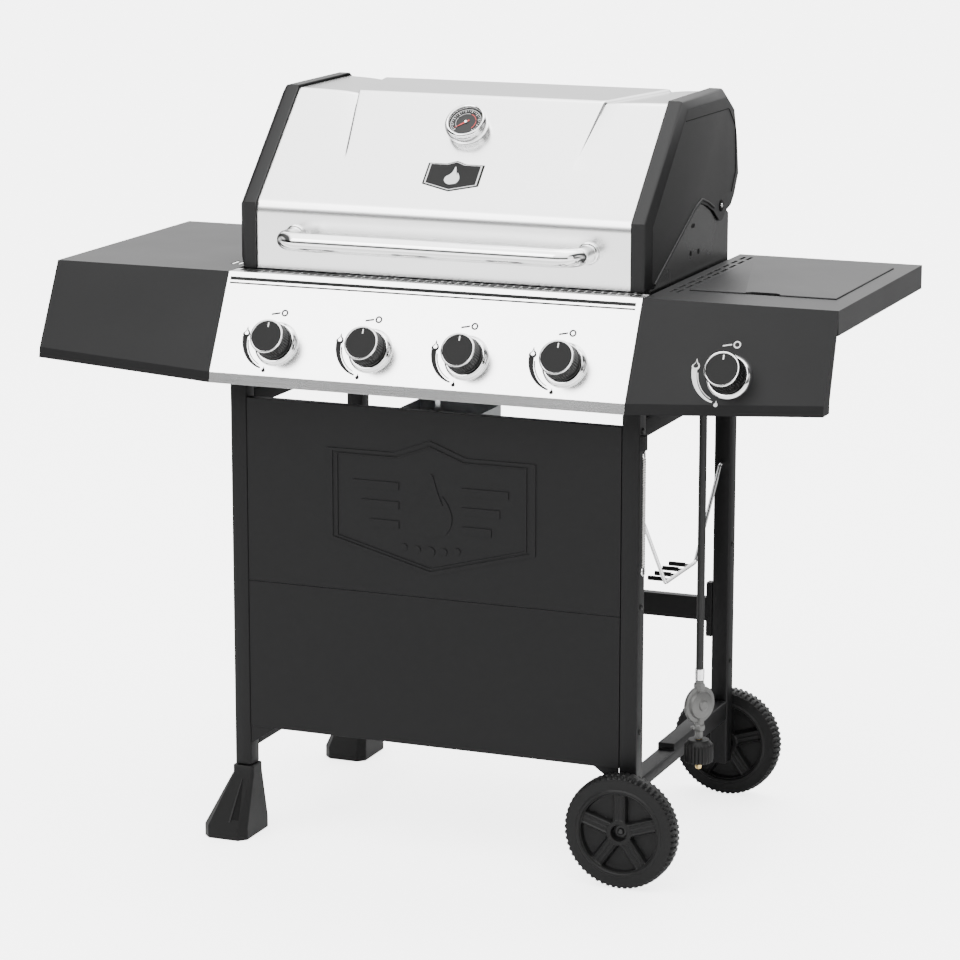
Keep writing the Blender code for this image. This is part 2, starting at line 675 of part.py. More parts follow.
def make_control_panel():
    """The steel control panel, with four stem holes and a row of vents in its top lip."""
    outline = sheet_outline(panel_line(0.0), SHEET)
    panel = place("control_panel", prism_bm(outline, -PANEL_X, PANEL_X), STEEL)
    for x in KNOB_XS[:4]:
        cut(panel, stem_hole(x))
    slots = bmesh.new()
    y = PANEL_TOP_Y + VENT_BEHIND_EDGE
    for i in range(VENT_COUNT):
        x = (i - (VENT_COUNT - 1) / 2) * VENT_PITCH
        middle = Matrix.Translation((x, y, WORKTOP_Z))
        bmesh.ops.create_cube(slots, size=1.0,
                              matrix=middle @ Matrix.Diagonal((VENT_LENGTH, VENT_WIDTH, 0.01, 1.0)))
    cut(panel, slots)


def fascia_ring(x, side_sign, hollow):
    """The side fascia's section at x: the outer shape, or the hollow behind its sheet."""
    rise = FASCIA_RISE * (x - PANEL_X) / (SHELF_END_X - PANEL_X)
    line = panel_line(rise)[:4]
    lip = SHELF_FRONT_Y - GAP
    low = line[1][1]
    end_y = line[1][0] + FASCIA_END_DEPTH
    if hollow:
        line[3] = (PANEL_TOP_Y - PANEL_RUN.y * 0.01, WORKTOP_Z - PANEL_RUN.z * 0.01)
        inner = sheet_outline(line, SHEET)[len(line):]
        outline = inner + [(0.0, low + SHEET), (0.0, inner[0][1])]
    else:
        outline = line + [(lip, WORKTOP_Z), (lip, WORKTOP_Z - 0.015), (end_y, low + 0.016), (end_y, low)]
    return [(side_sign * x, y, z) for y, z in outline]


def make_fascias():
    """The painted side fascias, whose bottom edge climbs to the outer end, each with an end wall."""
    for side, sx in (("left", -1), ("right", 1)):
        ends = (PANEL_X + GAP, SHELF_END_X)
        fascia = place(f"{side}_fascia", loft_bm([fascia_ring(x, sx, False) for x in ends]), PAINT)
        inside = (PANEL_X - 0.010, SHELF_END_X - SHEET)
        cut(fascia, loft_bm([fascia_ring(x, sx, True) for x in inside]))
        if sx > 0:
            cut(fascia, stem_hole(SIDE_KNOB_X))


def make_shelves():
    """Folded steel side shelves, open below; the right one has the side burner's opening."""
    for side, sx in (("left", -1), ("right", 1)):
        x0, x1 = sorted((sx * SHELF_INNER_X, sx * SHELF_END_X))
        shelf = place(f"{side}_shelf", pan_bm((x0, SHELF_FRONT_Y, WORKTOP_Z - SHELF_SKIRT),
                                              (x1, SHELF_REAR_Y, WORKTOP_Z), SHEET, "-Z"), SHELF_PAINT)
        if sx > 0:
            cut(shelf, box_bm((BURNER_LID_X[0], BURNER_LID_Y[0], WORKTOP_Z - 0.01),
                              (BURNER_LID_X[1], BURNER_LID_Y[1], WORKTOP_Z + 0.01)))
        slots = bmesh.new()
        for row in (0.017, 0.028):
            for i in range(9):
                y = -0.146 + i * 0.042
                middle = Matrix.Translation((sx * (SHELF_INNER_X + row), y, WORKTOP_Z))
                bmesh.ops.create_cube(slots, size=1.0, matrix=middle @ Matrix.Diagonal((0.005, 0.028, 0.01, 1.0)))
        cut(shelf, slots)


# ---------------------------------------------------------------- gas train
def make_manifold():
    """The gas pipe behind the panels, with a valve for each knob and the hose's inlet stub."""
    x0 = KNOB_XS[0] - MANIFOLD_END
    x1 = SIDE_KNOB_X + MANIFOLD_END
    pipe = place("gas_manifold", rod_bm(on_panel(x0, -MANIFOLD_BEHIND), on_panel(x1, -MANIFOLD_BEHIND),
                                        MANIFOLD_R, 20), ZINC, smooth=40)
    for x in KNOB_XS:
        join(pipe, rod_bm(on_panel(x, -MANIFOLD_BEHIND), on_panel(x, -VALVE_TOP), VALVE_R, 16))
    middle = on_panel(HOSE_X, -MANIFOLD_BEHIND)
    join(pipe, rod_bm(middle, middle + Vector((0.0, 0.022, 0.0)), 0.0075, 16))


def make_knobs():
    """Each gas knob turns on a stem that slides into the panel when it is pushed."""
    for number, x in enumerate(KNOB_XS, 1):
        back = on_panel(x, KNOB_BASE)
        stem_start = on_panel(x, -STEM_INSIDE)
        stem = rod_bm(stem_start, on_panel(x, KNOB_BASE + STEM_IN_KNOB), STEM_R, 12)
        place(f"knob_stem_{number}", stem, BRASS, origin=on_panel(x, 0.0), smooth=40)
        depth = KNOB_FACE - KNOB_BASE
        bore = STEM_R + GAP
        blind = STEM_IN_KNOB + GAP
        skirt = KNOB_R + KNOB_SKIRT
        profile = [(0.0, blind), (bore, blind), (bore, 0.0), (skirt, 0.0), (skirt, KNOB_SKIRT_H),
                   (KNOB_R, KNOB_SKIRT_H + 0.003), (KNOB_R - KNOB_TAPER, depth - KNOB_ROUND),
                   (KNOB_R - KNOB_ROUND, depth), (0.0, depth)]
        dial = lathe_bm(profile, PANEL_OUT, back, 32)
        place(f"knob_{number}", dial, PLASTIC, origin=back, smooth=30)


def tent_bm(x, y0, y1):
    """One tented flame tamer over a burner."""
    w = TAMER_HALF_W
    t = SHEET * 1.4
    roof = [(-w, 0.0), (0.0, TAMER_H), (w, 0.0), (w, -t), (0.0, TAMER_H - t), (-w, -t)]
    return loft_bm([[(x + a, y, TAMER_Z + b) for a, b in roof] for y in (y0, y1)])


def make_burners():
    """Four straight burner tubes from wall to wall, under one rack of tented flame tamers."""
    y0 = FIREBOX_FRONT_Y + SHEET + GAP
    y1 = FIREBOX_REAR_Y - SHEET - GAP
    for number, x in enumerate(KNOB_XS[:4], 1):
        burner = rod_bm((x, y0, BURNER_Z), (x, y1, BURNER_Z), BURNER_R, 20)
        place(f"burner_{number}", burner, STEEL, smooth=40)
    rack = place("flame_tamers", tent_bm(KNOB_XS[0], y0, y1), ENAMEL)
    for x in KNOB_XS[1:4]:
        join(rack, tent_bm(x, y0, y1))
    half = FIREBOX_X - SHEET - GAP
    for y in (y0 + 0.030, y1 - 0.030):
        join(rack, box_bm((-half, y - 0.006, TAMER_Z - TAMER_BAR_H), (half, y + 0.006, TAMER_Z - SHEET * 0.5)))


# ---------------------------------------------------------------- firebox
def make_firebox():
    """The sheet trough with a drain, a stepped flange and the side plates that carry the lid."""
    x = FIREBOX_X
    t = SHEET
    xs = [-x, t - x, -FIREBOX_DRAIN_X, FIREBOX_DRAIN_X, x - t, x]
    middle_y = (FIREBOX_FRONT_Y + FIREBOX_REAR_Y) / 2
    ys = [FIREBOX_FRONT_Y, FIREBOX_FRONT_Y + t, middle_y - FIREBOX_DRAIN_Y, middle_y + FIREBOX_DRAIN_Y,
          FIREBOX_REAR_Y - t, FIREBOX_REAR_Y]
    zs = [FIREBOX_BOTTOM_Z, FIREBOX_BOTTOM_Z + t, FIREBOX_TOP_Z]

    def solid(i, j, k):
        wall = i in (0, 4) or j in (0, 4)
        drain = i == 2 and j == 2
        return wall or (k == 0 and not drain)

    box_obj = place("firebox", cells_bm(xs, ys, zs, solid), ENAMEL)
    reach = 0.0004
    pivot_y, pivot_z = LID_PIVOT_Y, LID_PIVOT_Z
    ear = [(FIREBOX_FRONT_Y, FLANGE_Z), (EAR_REAR_Y, FLANGE_Z), (EAR_REAR_Y, pivot_z - 0.017),
           (pivot_y + 0.024, pivot_z - 0.005), (pivot_y + 0.019, pivot_z + 0.018),
           (pivot_y - 0.026, pivot_z + 0.052), (pivot_y - 0.136, pivot_z + 0.052),
           (pivot_y - 0.146, pivot_z + 0.010), (pivot_y - 0.256, pivot_z - 0.050),
           (FIREBOX_FRONT_Y, LID_BOTTOM_Z + 0.005)]
    for sx in (-1, 1):
        x0, x1 = sorted((sx * EAR_IN_X, sx * EAR_OUT_X))
        plate = prism_bm(ear, x0, x1)
        join(box_obj, plate)
        f0, f1 = sorted((sx * (FIREBOX_X - reach), sx * (EAR_OUT_X - reach)))
        join(box_obj, box_bm((f0, FIREBOX_FRONT_Y + reach, FLANGE_Z + reach),
                             (f1, FIREBOX_REAR_Y - reach, FLANGE_Z + reach + t)))
    length = 2 * EAR_OUT_X + 0.02
    for sx in (-1, 1):
        cut(box_obj, rod_bm((sx * (length / 2), LID_PIVOT_Y, LID_PIVOT_Z),
                            (sx * (EAR_IN_X - 0.01), LID_PIVOT_Y, LID_PIVOT_Z), PIVOT_R + GAP, 20))


def make_grates():
    """Two cast cooking grates side by side, and the wire warming rack between the side plates."""
    y0 = FIREBOX_FRONT_Y + SHEET + GAP
    y1 = FIREBOX_REAR_Y - SHEET - GAP
    half = FIREBOX_X - SHEET - GAP
    ys = [y0, y0 + GRATE_END_BAR, y1 - GRATE_END_BAR, y1]
    zs = [GRATE_Z, GRATE_Z + GRATE_H]
    for side, x0, x1 in (("left", -half, -GAP), ("right", GAP, half)):
        pitch = (x1 - x0 - GRATE_BAR) / (GRATE_BARS - 1)
        xs = []
        for i in range(GRATE_BARS):
            xs += [x0 + i * pitch, x0 + i * pitch + GRATE_BAR]
        place(f"{side}_grate", cells_bm(xs, ys, zs, lambda i, j, k: i % 2 == 0 or j != 1), CAST)
    half = EAR_IN_X - GAP
    pitch = (RACK_REAR_Y - RACK_FRONT_Y - RACK_BAR) / (RACK_BARS - 1)
    ys = []
    for i in range(RACK_BARS):
        ys += [RACK_FRONT_Y + i * pitch, RACK_FRONT_Y + i * pitch + RACK_BAR]
    pitch = (2 * half - RACK_BAR) / (RACK_TIES - 1)
    xs = []
    for i in range(RACK_TIES):
        xs += [-half + i * pitch, -half + i * pitch + RACK_BAR]
    bars = cells_bm(xs, ys, [RACK_Z, RACK_Z + RACK_BAR], lambda i, j, k: i % 2 == 0 or j % 2 == 0)
    place("warming_rack", bars, CHROME)


def make_grease_parts():
    """The tray that slides out of the back under the firebox, and the cup that hangs on it."""
    top = FIREBOX_BOTTOM_Z - 0.0012
    y0 = FIREBOX_FRONT_Y - 0.015
    y1 = FIREBOX_REAR_Y + 0.010
    half = TRAY_WIDTH / 2
    tray = pan_bm((-half, y0, top - TRAY_H), (half, y1, top), SHEET, "+Z")
    place("grease_tray", tray, GALVANISED)
    cup = place("grease_cup", pan_bm((-CUP_WIDTH / 2, CUP_Y - CUP_DEPTH / 2, CUP_TOP_Z - CUP_H),
                                     (CUP_WIDTH / 2, CUP_Y + CUP_DEPTH / 2, CUP_TOP_Z), SHEET, "+Z"), GALVANISED)
    hook_top = top - TRAY_H - GAP
    for sy in (-1, 1):
        y = CUP_Y + sy * (CUP_DEPTH / 2 - SHEET / 2)
        join(cup, box_bm((-0.004, y - SHEET * 0.3, CUP_TOP_Z - 0.012), (0.004, y + SHEET * 0.3, hook_top)))


# ---------------------------------------------------------------- lid
def inset_hood(line, inset):
    """The hood's outline drawn in by a wall."""
    return sheet_outline(line, inset)[len(line):][::-1]


def make_lid():
    """The hood: a folded steel skin, two dished end caps, handle, gauge and hinge pins."""
    pivot = (0.0, LID_PIVOT_Y, LID_PIVOT_Z)
    inner = LID_X - LID_CAP_W
    fold = rounded_path([(0.0, y, z) for y, z in inset_hood(HOOD, 0.0010)], HOOD_FOLD_R, 4)
    outline = sheet_outline([(p.y, p.z) for p in fold], LID_SHEET)
    place("lid_skin", prism_bm(outline, -(inner - GAP), inner - GAP), STEEL, origin=pivot, smooth=30)
    grow = inset_hood(HOOD, -CAP_PROUD)
    lobe = []
    for i in range(9):
        a = math.radians(-10 - i * 20)
        lobe.append((LID_PIVOT_Y + LOBE_R * math.cos(a), LID_PIVOT_Z + LOBE_R * math.sin(a)))
    outline = grow[:-1] + [(y, LID_BOTTOM_Z + rise) for y, rise in CAP_REAR] + lobe[1:6]
    outline += [(y, LID_BOTTOM_Z + rise) for y, rise in CAP_BELOW]
    front = HOOD[0][0] - CAP_PROUD + CAP_WALL
    rear = HOOD[-1][0] + 0.020
    low = LID_BOTTOM_Z - 0.100
    hollow = [(front, low), (front, HOOD[1][1] - 0.001)] + inset_hood(HOOD, CAP_WALL - CAP_PROUD)[2:6]
    hollow += [(rear, HOOD[-1][1]), (rear, low)]
    for side, sx in (("left", -1), ("right", 1)):
        x0, x1 = sorted((sx * inner, sx * LID_X))
        cap = place(f"{side}_lid_cap", prism_bm(outline, x0, x1), PAINT, origin=pivot)
        h0, h1 = sorted((sx * (inner - 0.01), sx * (LID_X - LID_SHEET)))
        cut(cap, prism_bm(hollow, h0, h1))
        cut(cap, rod_bm((sx * (LID_X + 0.01), LID_PIVOT_Y, LID_PIVOT_Z),
                        (sx * (LID_X - 0.01), LID_PIVOT_Y, LID_PIVOT_Z), PIVOT_R + PIVOT_PLAY, 20))
        pin = [(0.0, 0.0), (PIVOT_R, 0.0), (PIVOT_R, 0.0148), (0.0, 0.0148)]
        start = (sx * (EAR_IN_X - 0.010), LID_PIVOT_Y, LID_PIVOT_Z)
        place(f"{side}_hinge_pin", lathe_bm(pin, (sx, 0.0, 0.0), start, 20), CHROME, smooth=40)

    face = HOOD[0][0] + 0.0010 - 0.0002
    bar_y = face - HANDLE_REACH
    route = rounded_path([(-HANDLE_X, face - GAP, HANDLE_Z), (-HANDLE_X, bar_y, HANDLE_Z),
                          (HANDLE_X, bar_y, HANDLE_Z), (HANDLE_X, face - GAP, HANDLE_Z)], HANDLE_BEND_R)
    tube("lid_handle", route, HANDLE_R, STEEL, resolution=4, origin=pivot)

    foot = Vector((0.0, *HOOD[1])) + HOOD_SLOPE * GAUGE_UP_SLOPE - HOOD_OUT * (0.0010 - GAP)
    profile = [(0.0, 0.0), (GAUGE_R - 0.006, 0.0), (GAUGE_R - 0.006, GAUGE_H - 0.008),
               (GAUGE_R, GAUGE_H - 0.006), (GAUGE_R, GAUGE_H - 0.002), (GAUGE_R - 0.003, GAUGE_H),
               (GAUGE_R - 0.006, GAUGE_H - 0.002), (0.0, GAUGE_H - 0.002)]
    place("thermometer", lathe_bm(profile, HOOD_OUT, foot, 40), CHROME, origin=pivot, smooth=30)


# ---------------------------------------------------------------- side burner
def make_side_burner():
    """Bowl, burner head and wire support in the right shelf, under a flush lid hinged at the back."""
    c = BURNER_LID_CLEAR
    x0, x1 = BURNER_LID_X[0] + c, BURNER_LID_X[1] - c
    y0, y1 = BURNER_LID_Y[0] + c, BURNER_LID_Y[1] - c
    rim = WORKTOP_Z - 0.0016
    bowl = pan_bm((x0, y0, rim - BOWL_DEPTH), (x1, y1, rim), SHEET, "+Z")
    place("side_burner_bowl", bowl, ENAMEL)
    middle = ((x0 + x1) / 2, (y0 + y1) / 2)
    floor = rim - BOWL_DEPTH + SHEET + GAP
    head = [(0.0, 0.0), (0.016, 0.0), (0.016, 0.008), (SIDE_HEAD_R, 0.010), (SIDE_HEAD_R, SIDE_HEAD_H - 0.002),
            (SIDE_HEAD_R - 0.002, SIDE_HEAD_H), (0.0, SIDE_HEAD_H)]
    place("side_burner_head", lathe_bm(head, (0, 0, 1), (*middle, floor), 28), BRASS, smooth=35)
    b = SUPPORT_BAR
    w = SHEET + GAP
    mx, my = middle
    xs = [x0 + w, mx - 0.047, mx - 0.047 + b, mx - b / 2, mx + b / 2, mx + 0.047 - b, mx + 0.047, x1 - w]
    ys = [y0 + w, my - 0.047, my - 0.047 + b, my - b / 2, my + b / 2, my + 0.047 - b, my + 0.047, y1 - w]
    top = rim - 0.004

    def solid(i, j, k):
        ring = (i in (1, 5) and 1 <= j <= 5) or (j in (1, 5) and 1 <= i <= 5)
        arm = i == 3 or j == 3
        return ring or arm

    place("pan_support", cells_bm(xs, ys, [top - b, top], solid), CAST)
    hinge = (0.0, BURNER_LID_Y[1] + 0.0010, WORKTOP_Z + SIDE_HINGE_UP)
    under = rim + GAP
    lid = box("side_burner_lid", (x0, y0, under), (x1, y1, under + BURNER_LID_H), SHELF_PAINT,
              bevel=0.001, origin=hinge)
    scoop = [(mx - 0.0265, y0 - 0.01), (mx + 0.0265, y0 - 0.01), (mx + 0.0265, y0 + 0.004),
             (mx + 0.0180, y0 + 0.011), (mx - 0.0180, y0 + 0.011), (mx - 0.0265, y0 + 0.004)]
    cut(lid, loft_bm([[(x, y, z) for x, y in scoop] for z in (under - 0.01, under + 0.01)]))


# ---------------------------------------------------------------- hose, regulator and tank fittings
def make_hose_and_regulator():
    """The hose from the manifold's stub, the regulator, and the hand nut for a gas tank."""
    exit_point = on_panel(HOSE_X, -MANIFOLD_BEHIND) + Vector((0.0, 0.022 + GAP, 0.0))
    knots = [exit_point, exit_point + Vector((0.0, 0.020, 0.0)),
             exit_point + Vector((0.0, 0.052, -0.006)), exit_point + Vector((0.0, 0.0785, -0.0223)),
             exit_point + Vector((0.0, 0.0965, -0.0593)), exit_point + Vector((0.0, 0.0995, -0.0973)),
             Vector((HOSE_X, HOSE_Y, 0.620)), Vector((HOSE_X, HOSE_Y, 0.540)),
             Vector((HOSE_X, HOSE_Y, 0.460)), Vector((HOSE_X, HOSE_Y, 0.380)),
             Vector((HOSE_X, HOSE_Y, HOSE_END_Z + GAP))]
    tube("gas_hose", smooth_route(knots, 4), HOSE_R, RUBBER, resolution=2)

    centre = Vector((HOSE_X, HOSE_Y, REGULATOR_Z))
    facing = Vector((math.sin(REGULATOR_TURN), -math.cos(REGULATOR_TURN), 0.0))
    disc = [(0.0, -REGULATOR_W / 2), (REGULATOR_R - 0.006, -REGULATOR_W / 2), (REGULATOR_R, -0.004),
            (REGULATOR_R, 0.004), (REGULATOR_R - 0.006, REGULATOR_W / 2), (0.0, REGULATOR_W / 2)]
    regulator = place("regulator", lathe_bm(disc, facing, centre, 32), ZINC, smooth=35)
    top, low = TANK_NUT_Z[1], TANK_NUT_Z[0]
    join(regulator, rod_bm((HOSE_X, HOSE_Y, top + 0.001), (HOSE_X, HOSE_Y, HOSE_END_Z - GAP), COLUMN_R, 20))
    join(regulator, rod_bm((HOSE_X, HOSE_Y, NIPPLE_END_Z), (HOSE_X, HOSE_Y, REGULATOR_Z), NIPPLE_R, 16))
    bore = NIPPLE_R + TANK_NUT_PLAY
    ring = [(bore, low), (TANK_NUT_R - 0.002, low), (TANK_NUT_R, low + 0.003), (TANK_NUT_R, top - 0.006),
            (TANK_NUT_R - 0.006, top), (bore, top)]
    nut = lathe_bm([(r, z - low) for r, z in ring], (0, 0, 1), (HOSE_X, HOSE_Y, low), 32)
    place("tank_nut", nut, PLASTIC, origin=(HOSE_X, HOSE_Y, low), smooth=35)


def make_tank_wire():
    """The sprung wire that swings across the tank's side, with four short prongs."""
    pivot = (WIRE_X, 0.0, WIRE_PIVOT_Z)
    y0 = FRONT_LEG_Y[1] + GAP
    y1 = REAR_LEG_Y[0] - GAP
    corners = [(WIRE_X, y0, WIRE_PIVOT_Z), (WIRE_X, y0 + 0.014, WIRE_PIVOT_Z),
               (WIRE_X, -WIRE_LOW_HALF, WIRE_LOW_Z), (WIRE_X, WIRE_LOW_HALF, WIRE_LOW_Z),
               (WIRE_X, y1 - 0.014, WIRE_PIVOT_Z), (WIRE_X, y1, WIRE_PIVOT_Z)]
    bar = sweep_bm(rounded_path(corners, 0.010, 3), WIRE_R, (1.0, 0.0, 0.0))
    wire = place("tank_wire", bar, CHROME, origin=pivot, smooth=50)
    for y in (-0.050, -0.018, 0.018, 0.050):
        join(wire, rod_bm((WIRE_X + 0.0005, y, WIRE_LOW_Z), (WIRE_X - WIRE_PRONG, y, WIRE_LOW_Z), WIRE_R * 0.9, 10))


def make_lighting_rod():
    """The lighting rod that hangs from the hook on the front right leg."""
    x = CART_X + ROD_X_GAP
    top = (x, ROD_Y, ROD_TOP_Z)
    rod = place("lighting_rod", rod_bm((x, ROD_Y, ROD_BOTTOM_Z + 0.005), (x, ROD_Y, ROD_TOP_Z + 0.0055), ROD_R, 12),
                CHROME, origin=top, smooth=40)
    ring = bmesh.new()
    rows = []
    for i in range(20):
        a = 2 * math.pi * i / 20
        row = []
        for k in range(8):
            b = 2 * math.pi * k / 8
            r = 0.0065 + 0.0016 * math.cos(b)
            row.append(ring.verts.new((x + 0.0016 * math.sin(b), ROD_Y + r * math.sin(a),
                                       ROD_BOTTOM_Z + r * math.cos(a))))
        rows.append(row)
    for i in range(20):
        for k in range(8):
            a, b = rows[i], rows[(i + 1) % 20]
            ring.faces.new((a[k], a[(k + 1) % 8], b[(k + 1) % 8], b[k]))
    join(rod, ring)


make_legs()
make_rails()
make_front_panels()
make_feet()
make_wheels()
make_control_panel()
make_fascias()
make_shelves()
make_manifold()
make_knobs()
make_burners()
make_firebox()
make_grates()
make_grease_parts()
make_lid()
make_side_burner()
make_hose_and_regulator()
make_tank_wire()
make_lighting_rod()
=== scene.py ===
"""Looks of the gas barbecue grill: finishes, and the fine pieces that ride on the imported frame.

Everything is in metres, in the frame's own axes: +X right of the control panel, -Y the front, +Z up.
"""
import json
import math

import bmesh
import bpy
import numpy as np
from mathutils import Matrix, Vector


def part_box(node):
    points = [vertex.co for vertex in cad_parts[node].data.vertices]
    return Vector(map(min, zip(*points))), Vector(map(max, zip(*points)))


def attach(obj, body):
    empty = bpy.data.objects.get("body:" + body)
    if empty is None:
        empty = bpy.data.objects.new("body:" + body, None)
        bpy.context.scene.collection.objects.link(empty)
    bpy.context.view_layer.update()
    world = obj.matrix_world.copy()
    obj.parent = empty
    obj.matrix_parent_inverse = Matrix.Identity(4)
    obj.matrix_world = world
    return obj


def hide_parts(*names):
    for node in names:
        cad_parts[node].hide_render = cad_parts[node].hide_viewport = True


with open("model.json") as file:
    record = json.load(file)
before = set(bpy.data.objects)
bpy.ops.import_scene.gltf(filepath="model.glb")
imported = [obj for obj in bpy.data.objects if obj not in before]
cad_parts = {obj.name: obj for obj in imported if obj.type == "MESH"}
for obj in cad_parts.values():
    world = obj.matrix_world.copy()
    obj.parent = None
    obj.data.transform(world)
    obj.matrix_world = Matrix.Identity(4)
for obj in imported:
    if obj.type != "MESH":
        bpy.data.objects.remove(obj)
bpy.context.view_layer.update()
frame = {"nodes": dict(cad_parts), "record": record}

SCENE = bpy.context.scene


# ---------------------------------------------------------------- camera
CAMERA_PLACE = (2.036, -5.0555, 1.757)
CAMERA_AZIMUTH = math.radians(22.10)
CAMERA_ELEVATION = math.radians(12.49)
CAMERA_LENS = 132.75
CAMERA_SHIFT = (0.0079, 0.0049)


def make_camera():
    """A long-lens camera on the right of the front, a little above the worktop."""
    a, e = CAMERA_AZIMUTH, CAMERA_ELEVATION
    right = Vector((math.cos(a), math.sin(a), 0.0))
    back = Vector((math.sin(a) * math.cos(e), -math.cos(a) * math.cos(e), math.sin(e)))
    up = back.cross(right)
    lens = bpy.data.cameras.new("camera")
    lens.sensor_width = 36.0
    lens.lens = CAMERA_LENS
    lens.shift_x, lens.shift_y = CAMERA_SHIFT
    camera = bpy.data.objects.new("camera", lens)
    turn = Matrix((right, up, back)).transposed().to_4x4()
    camera.matrix_world = Matrix.Translation(CAMERA_PLACE) @ turn
    SCENE.collection.objects.link(camera)
    SCENE.camera = camera


make_camera()


# ---------------------------------------------------------------- mesh helpers
CAD_WELD = 2e-6              # corners of CAD triangles closer than this are one
CAD_FLAT_ANGLE = 0.8         # degrees between faces that count as one flat
SOFT_ANGLE = 35.0            # degrees across an edge that is rounded off


def link(name, mesh, mat, smooth=35.0):
    """Put a mesh in the scene as an object at the origin, with one material."""
    obj = bpy.data.objects.new(name, mesh)
    SCENE.collection.objects.link(obj)
    if mat is not None:
        mesh.materials.append(mat)
    if smooth:
        mesh.shade_smooth()
        mesh.set_sharp_from_angle(angle=math.radians(smooth))
    return obj


def mesh_of(name, verts, faces):
    """A mesh from an array of points and a list of faces, its normals turned outwards."""
    mesh = bpy.data.meshes.new(name)
    mesh.from_pydata(np.asarray(verts, float).reshape(-1, 3).tolist(), [],
                     [list(map(int, f)) for f in faces])
    bm = bmesh.new()
    bm.from_mesh(mesh)
    bmesh.ops.remove_doubles(bm, verts=bm.verts, dist=1e-6)
    bmesh.ops.recalc_face_normals(bm, faces=bm.faces)
    bm.to_mesh(mesh)
    bm.free()
    mesh.update()
    return mesh


def grid_faces(rows, cols, wrap_rows=False, wrap_cols=False):
    """Quads of a grid of points numbered row by row."""
    i = np.arange(rows if wrap_rows else rows - 1)
    j = np.arange(cols if wrap_cols else cols - 1)
    i, j = np.meshgrid(i, j, indexing="ij")
    i2 = (i + 1) % rows
    j2 = (j + 1) % cols
    quads = np.stack([i * cols + j, i * cols + j2, i2 * cols + j2, i2 * cols + j], -1)
    return quads.reshape(-1, 4)


def axes_on(axis, hint=(0.0, 0.0, 1.0)):
    """Two unit vectors square to an axis: the second is the hint with its part along the axis taken off."""
    axis = np.asarray(axis, float) / np.linalg.norm(axis)
    hint = np.asarray(hint, float)
    if abs(hint @ axis) > 0.99:
        hint = np.array((0.0, 1.0, 0.0))
    up = hint - axis * (hint @ axis)
    up /= np.linalg.norm(up)
    return np.cross(up, axis), up


def turned(name, profile, centre, axis, mat, steps=64, smooth=35.0):
    """A profile of (radius, height) turned round an axis: centre + axis h + r (u cos t + v sin t).

    A profile that starts and ends on the axis is closed; any other is joined end to end as a ring.
    """
    profile = np.asarray(profile, float)
    axis = np.asarray(axis, float) / np.linalg.norm(axis)
    u, v = axes_on(axis)
    t = np.linspace(0, 2 * math.pi, steps, endpoint=False)
    around = np.cos(t)[:, None] * u + np.sin(t)[:, None] * v
    radius, height = profile[:, 0, None, None], profile[:, 1, None, None]
    points = np.asarray(centre, float) + height * axis + radius * around
    ring = profile[0, 0] > 0 and profile[-1, 0] > 0
    faces = grid_faces(len(profile), steps, wrap_rows=ring, wrap_cols=True)
    mesh = mesh_of(name, points, faces)
    return link(name, drop_slivers(mesh), mat, smooth)


def drop_slivers(mesh):
    """Collapse the zero-width quads that a turned shape leaves at its poles."""
    bm = bmesh.new()
    bm.from_mesh(mesh)
    bmesh.ops.dissolve_degenerate(bm, dist=1e-7, edges=bm.edges)
    bmesh.ops.recalc_face_normals(bm, faces=bm.faces)
    bm.to_mesh(mesh)
    bm.free()
    return mesh


def smooth_route(points, per_span=6):
    """A Catmull-Rom curve through the route's points, whole spans at a time."""
    p = np.asarray(points, float)
    p = np.vstack([2 * p[0] - p[1], p, 2 * p[-1] - p[-2]])
    t = np.arange(per_span)[:, None] / per_span
    spans = [(2 * b + (c - a) * t + (2 * a - 5 * b + 4 * c - d) * t ** 2
              + (3 * b - a - 3 * c + d) * t ** 3) / 2
             for a, b, c, d in zip(p, p[1:], p[2:], p[3:])]
    return np.vstack(spans + [p[-2:-1]])


def carried(name, path, radius, mat, sides=16, closed=False):
    """A circle carried along a path: path(s) + r(s) (cos t side + sin t over)."""
    path = np.asarray(path, float)
    radius = np.broadcast_to(np.asarray(radius, float), len(path))
    if closed:
        along = np.roll(path, -1, 0) - np.roll(path, 1, 0)
    else:
        along = np.gradient(path, axis=0)
    along /= np.linalg.norm(along, axis=1)[:, None]
    side, over = axes_on(along[0], (0.3, 0.2, 0.9))
    sides_of = [side]
    for tangent in along[1:]:
        side = sides_of[-1] - tangent * (sides_of[-1] @ tangent)
        sides_of.append(side / np.linalg.norm(side))
    side = np.array(sides_of)
    over = np.cross(along, side)
    t = np.linspace(0, 2 * math.pi, sides, endpoint=False)
    points = (path[:, None] + radius[:, None, None]
              * (np.cos(t)[None, :, None] * side[:, None] + np.sin(t)[None, :, None] * over[:, None]))
    faces = [list(f) for f in grid_faces(len(path), sides, wrap_rows=closed, wrap_cols=True)]
    if not closed:
        last = (len(path) - 1) * sides
        faces += [list(range(sides))[::-1], list(range(last, last + sides))]
    return link(name, mesh_of(name, points, faces), mat, 50.0)


def plate(name, outline, origin, across, up, thick, mat):
    """A flat outline of (a, b) at origin + a across + b up, given a thickness along across x up."""
    outline = np.asarray(outline, float)
    across = np.asarray(across, float)
    up = np.asarray(up, float)
    out = np.cross(across, up)
    base = np.asarray(origin, float) + outline[:, :1] * across + outline[:, 1:] * up
    count = len(outline)
    faces = [list(f) for f in grid_faces(2, count, wrap_cols=True)]
    faces += [list(range(count))[::-1], list(range(count, 2 * count))]
    return link(name, mesh_of(name, np.vstack([base, base + out * thick]), faces), mat, 0.0)


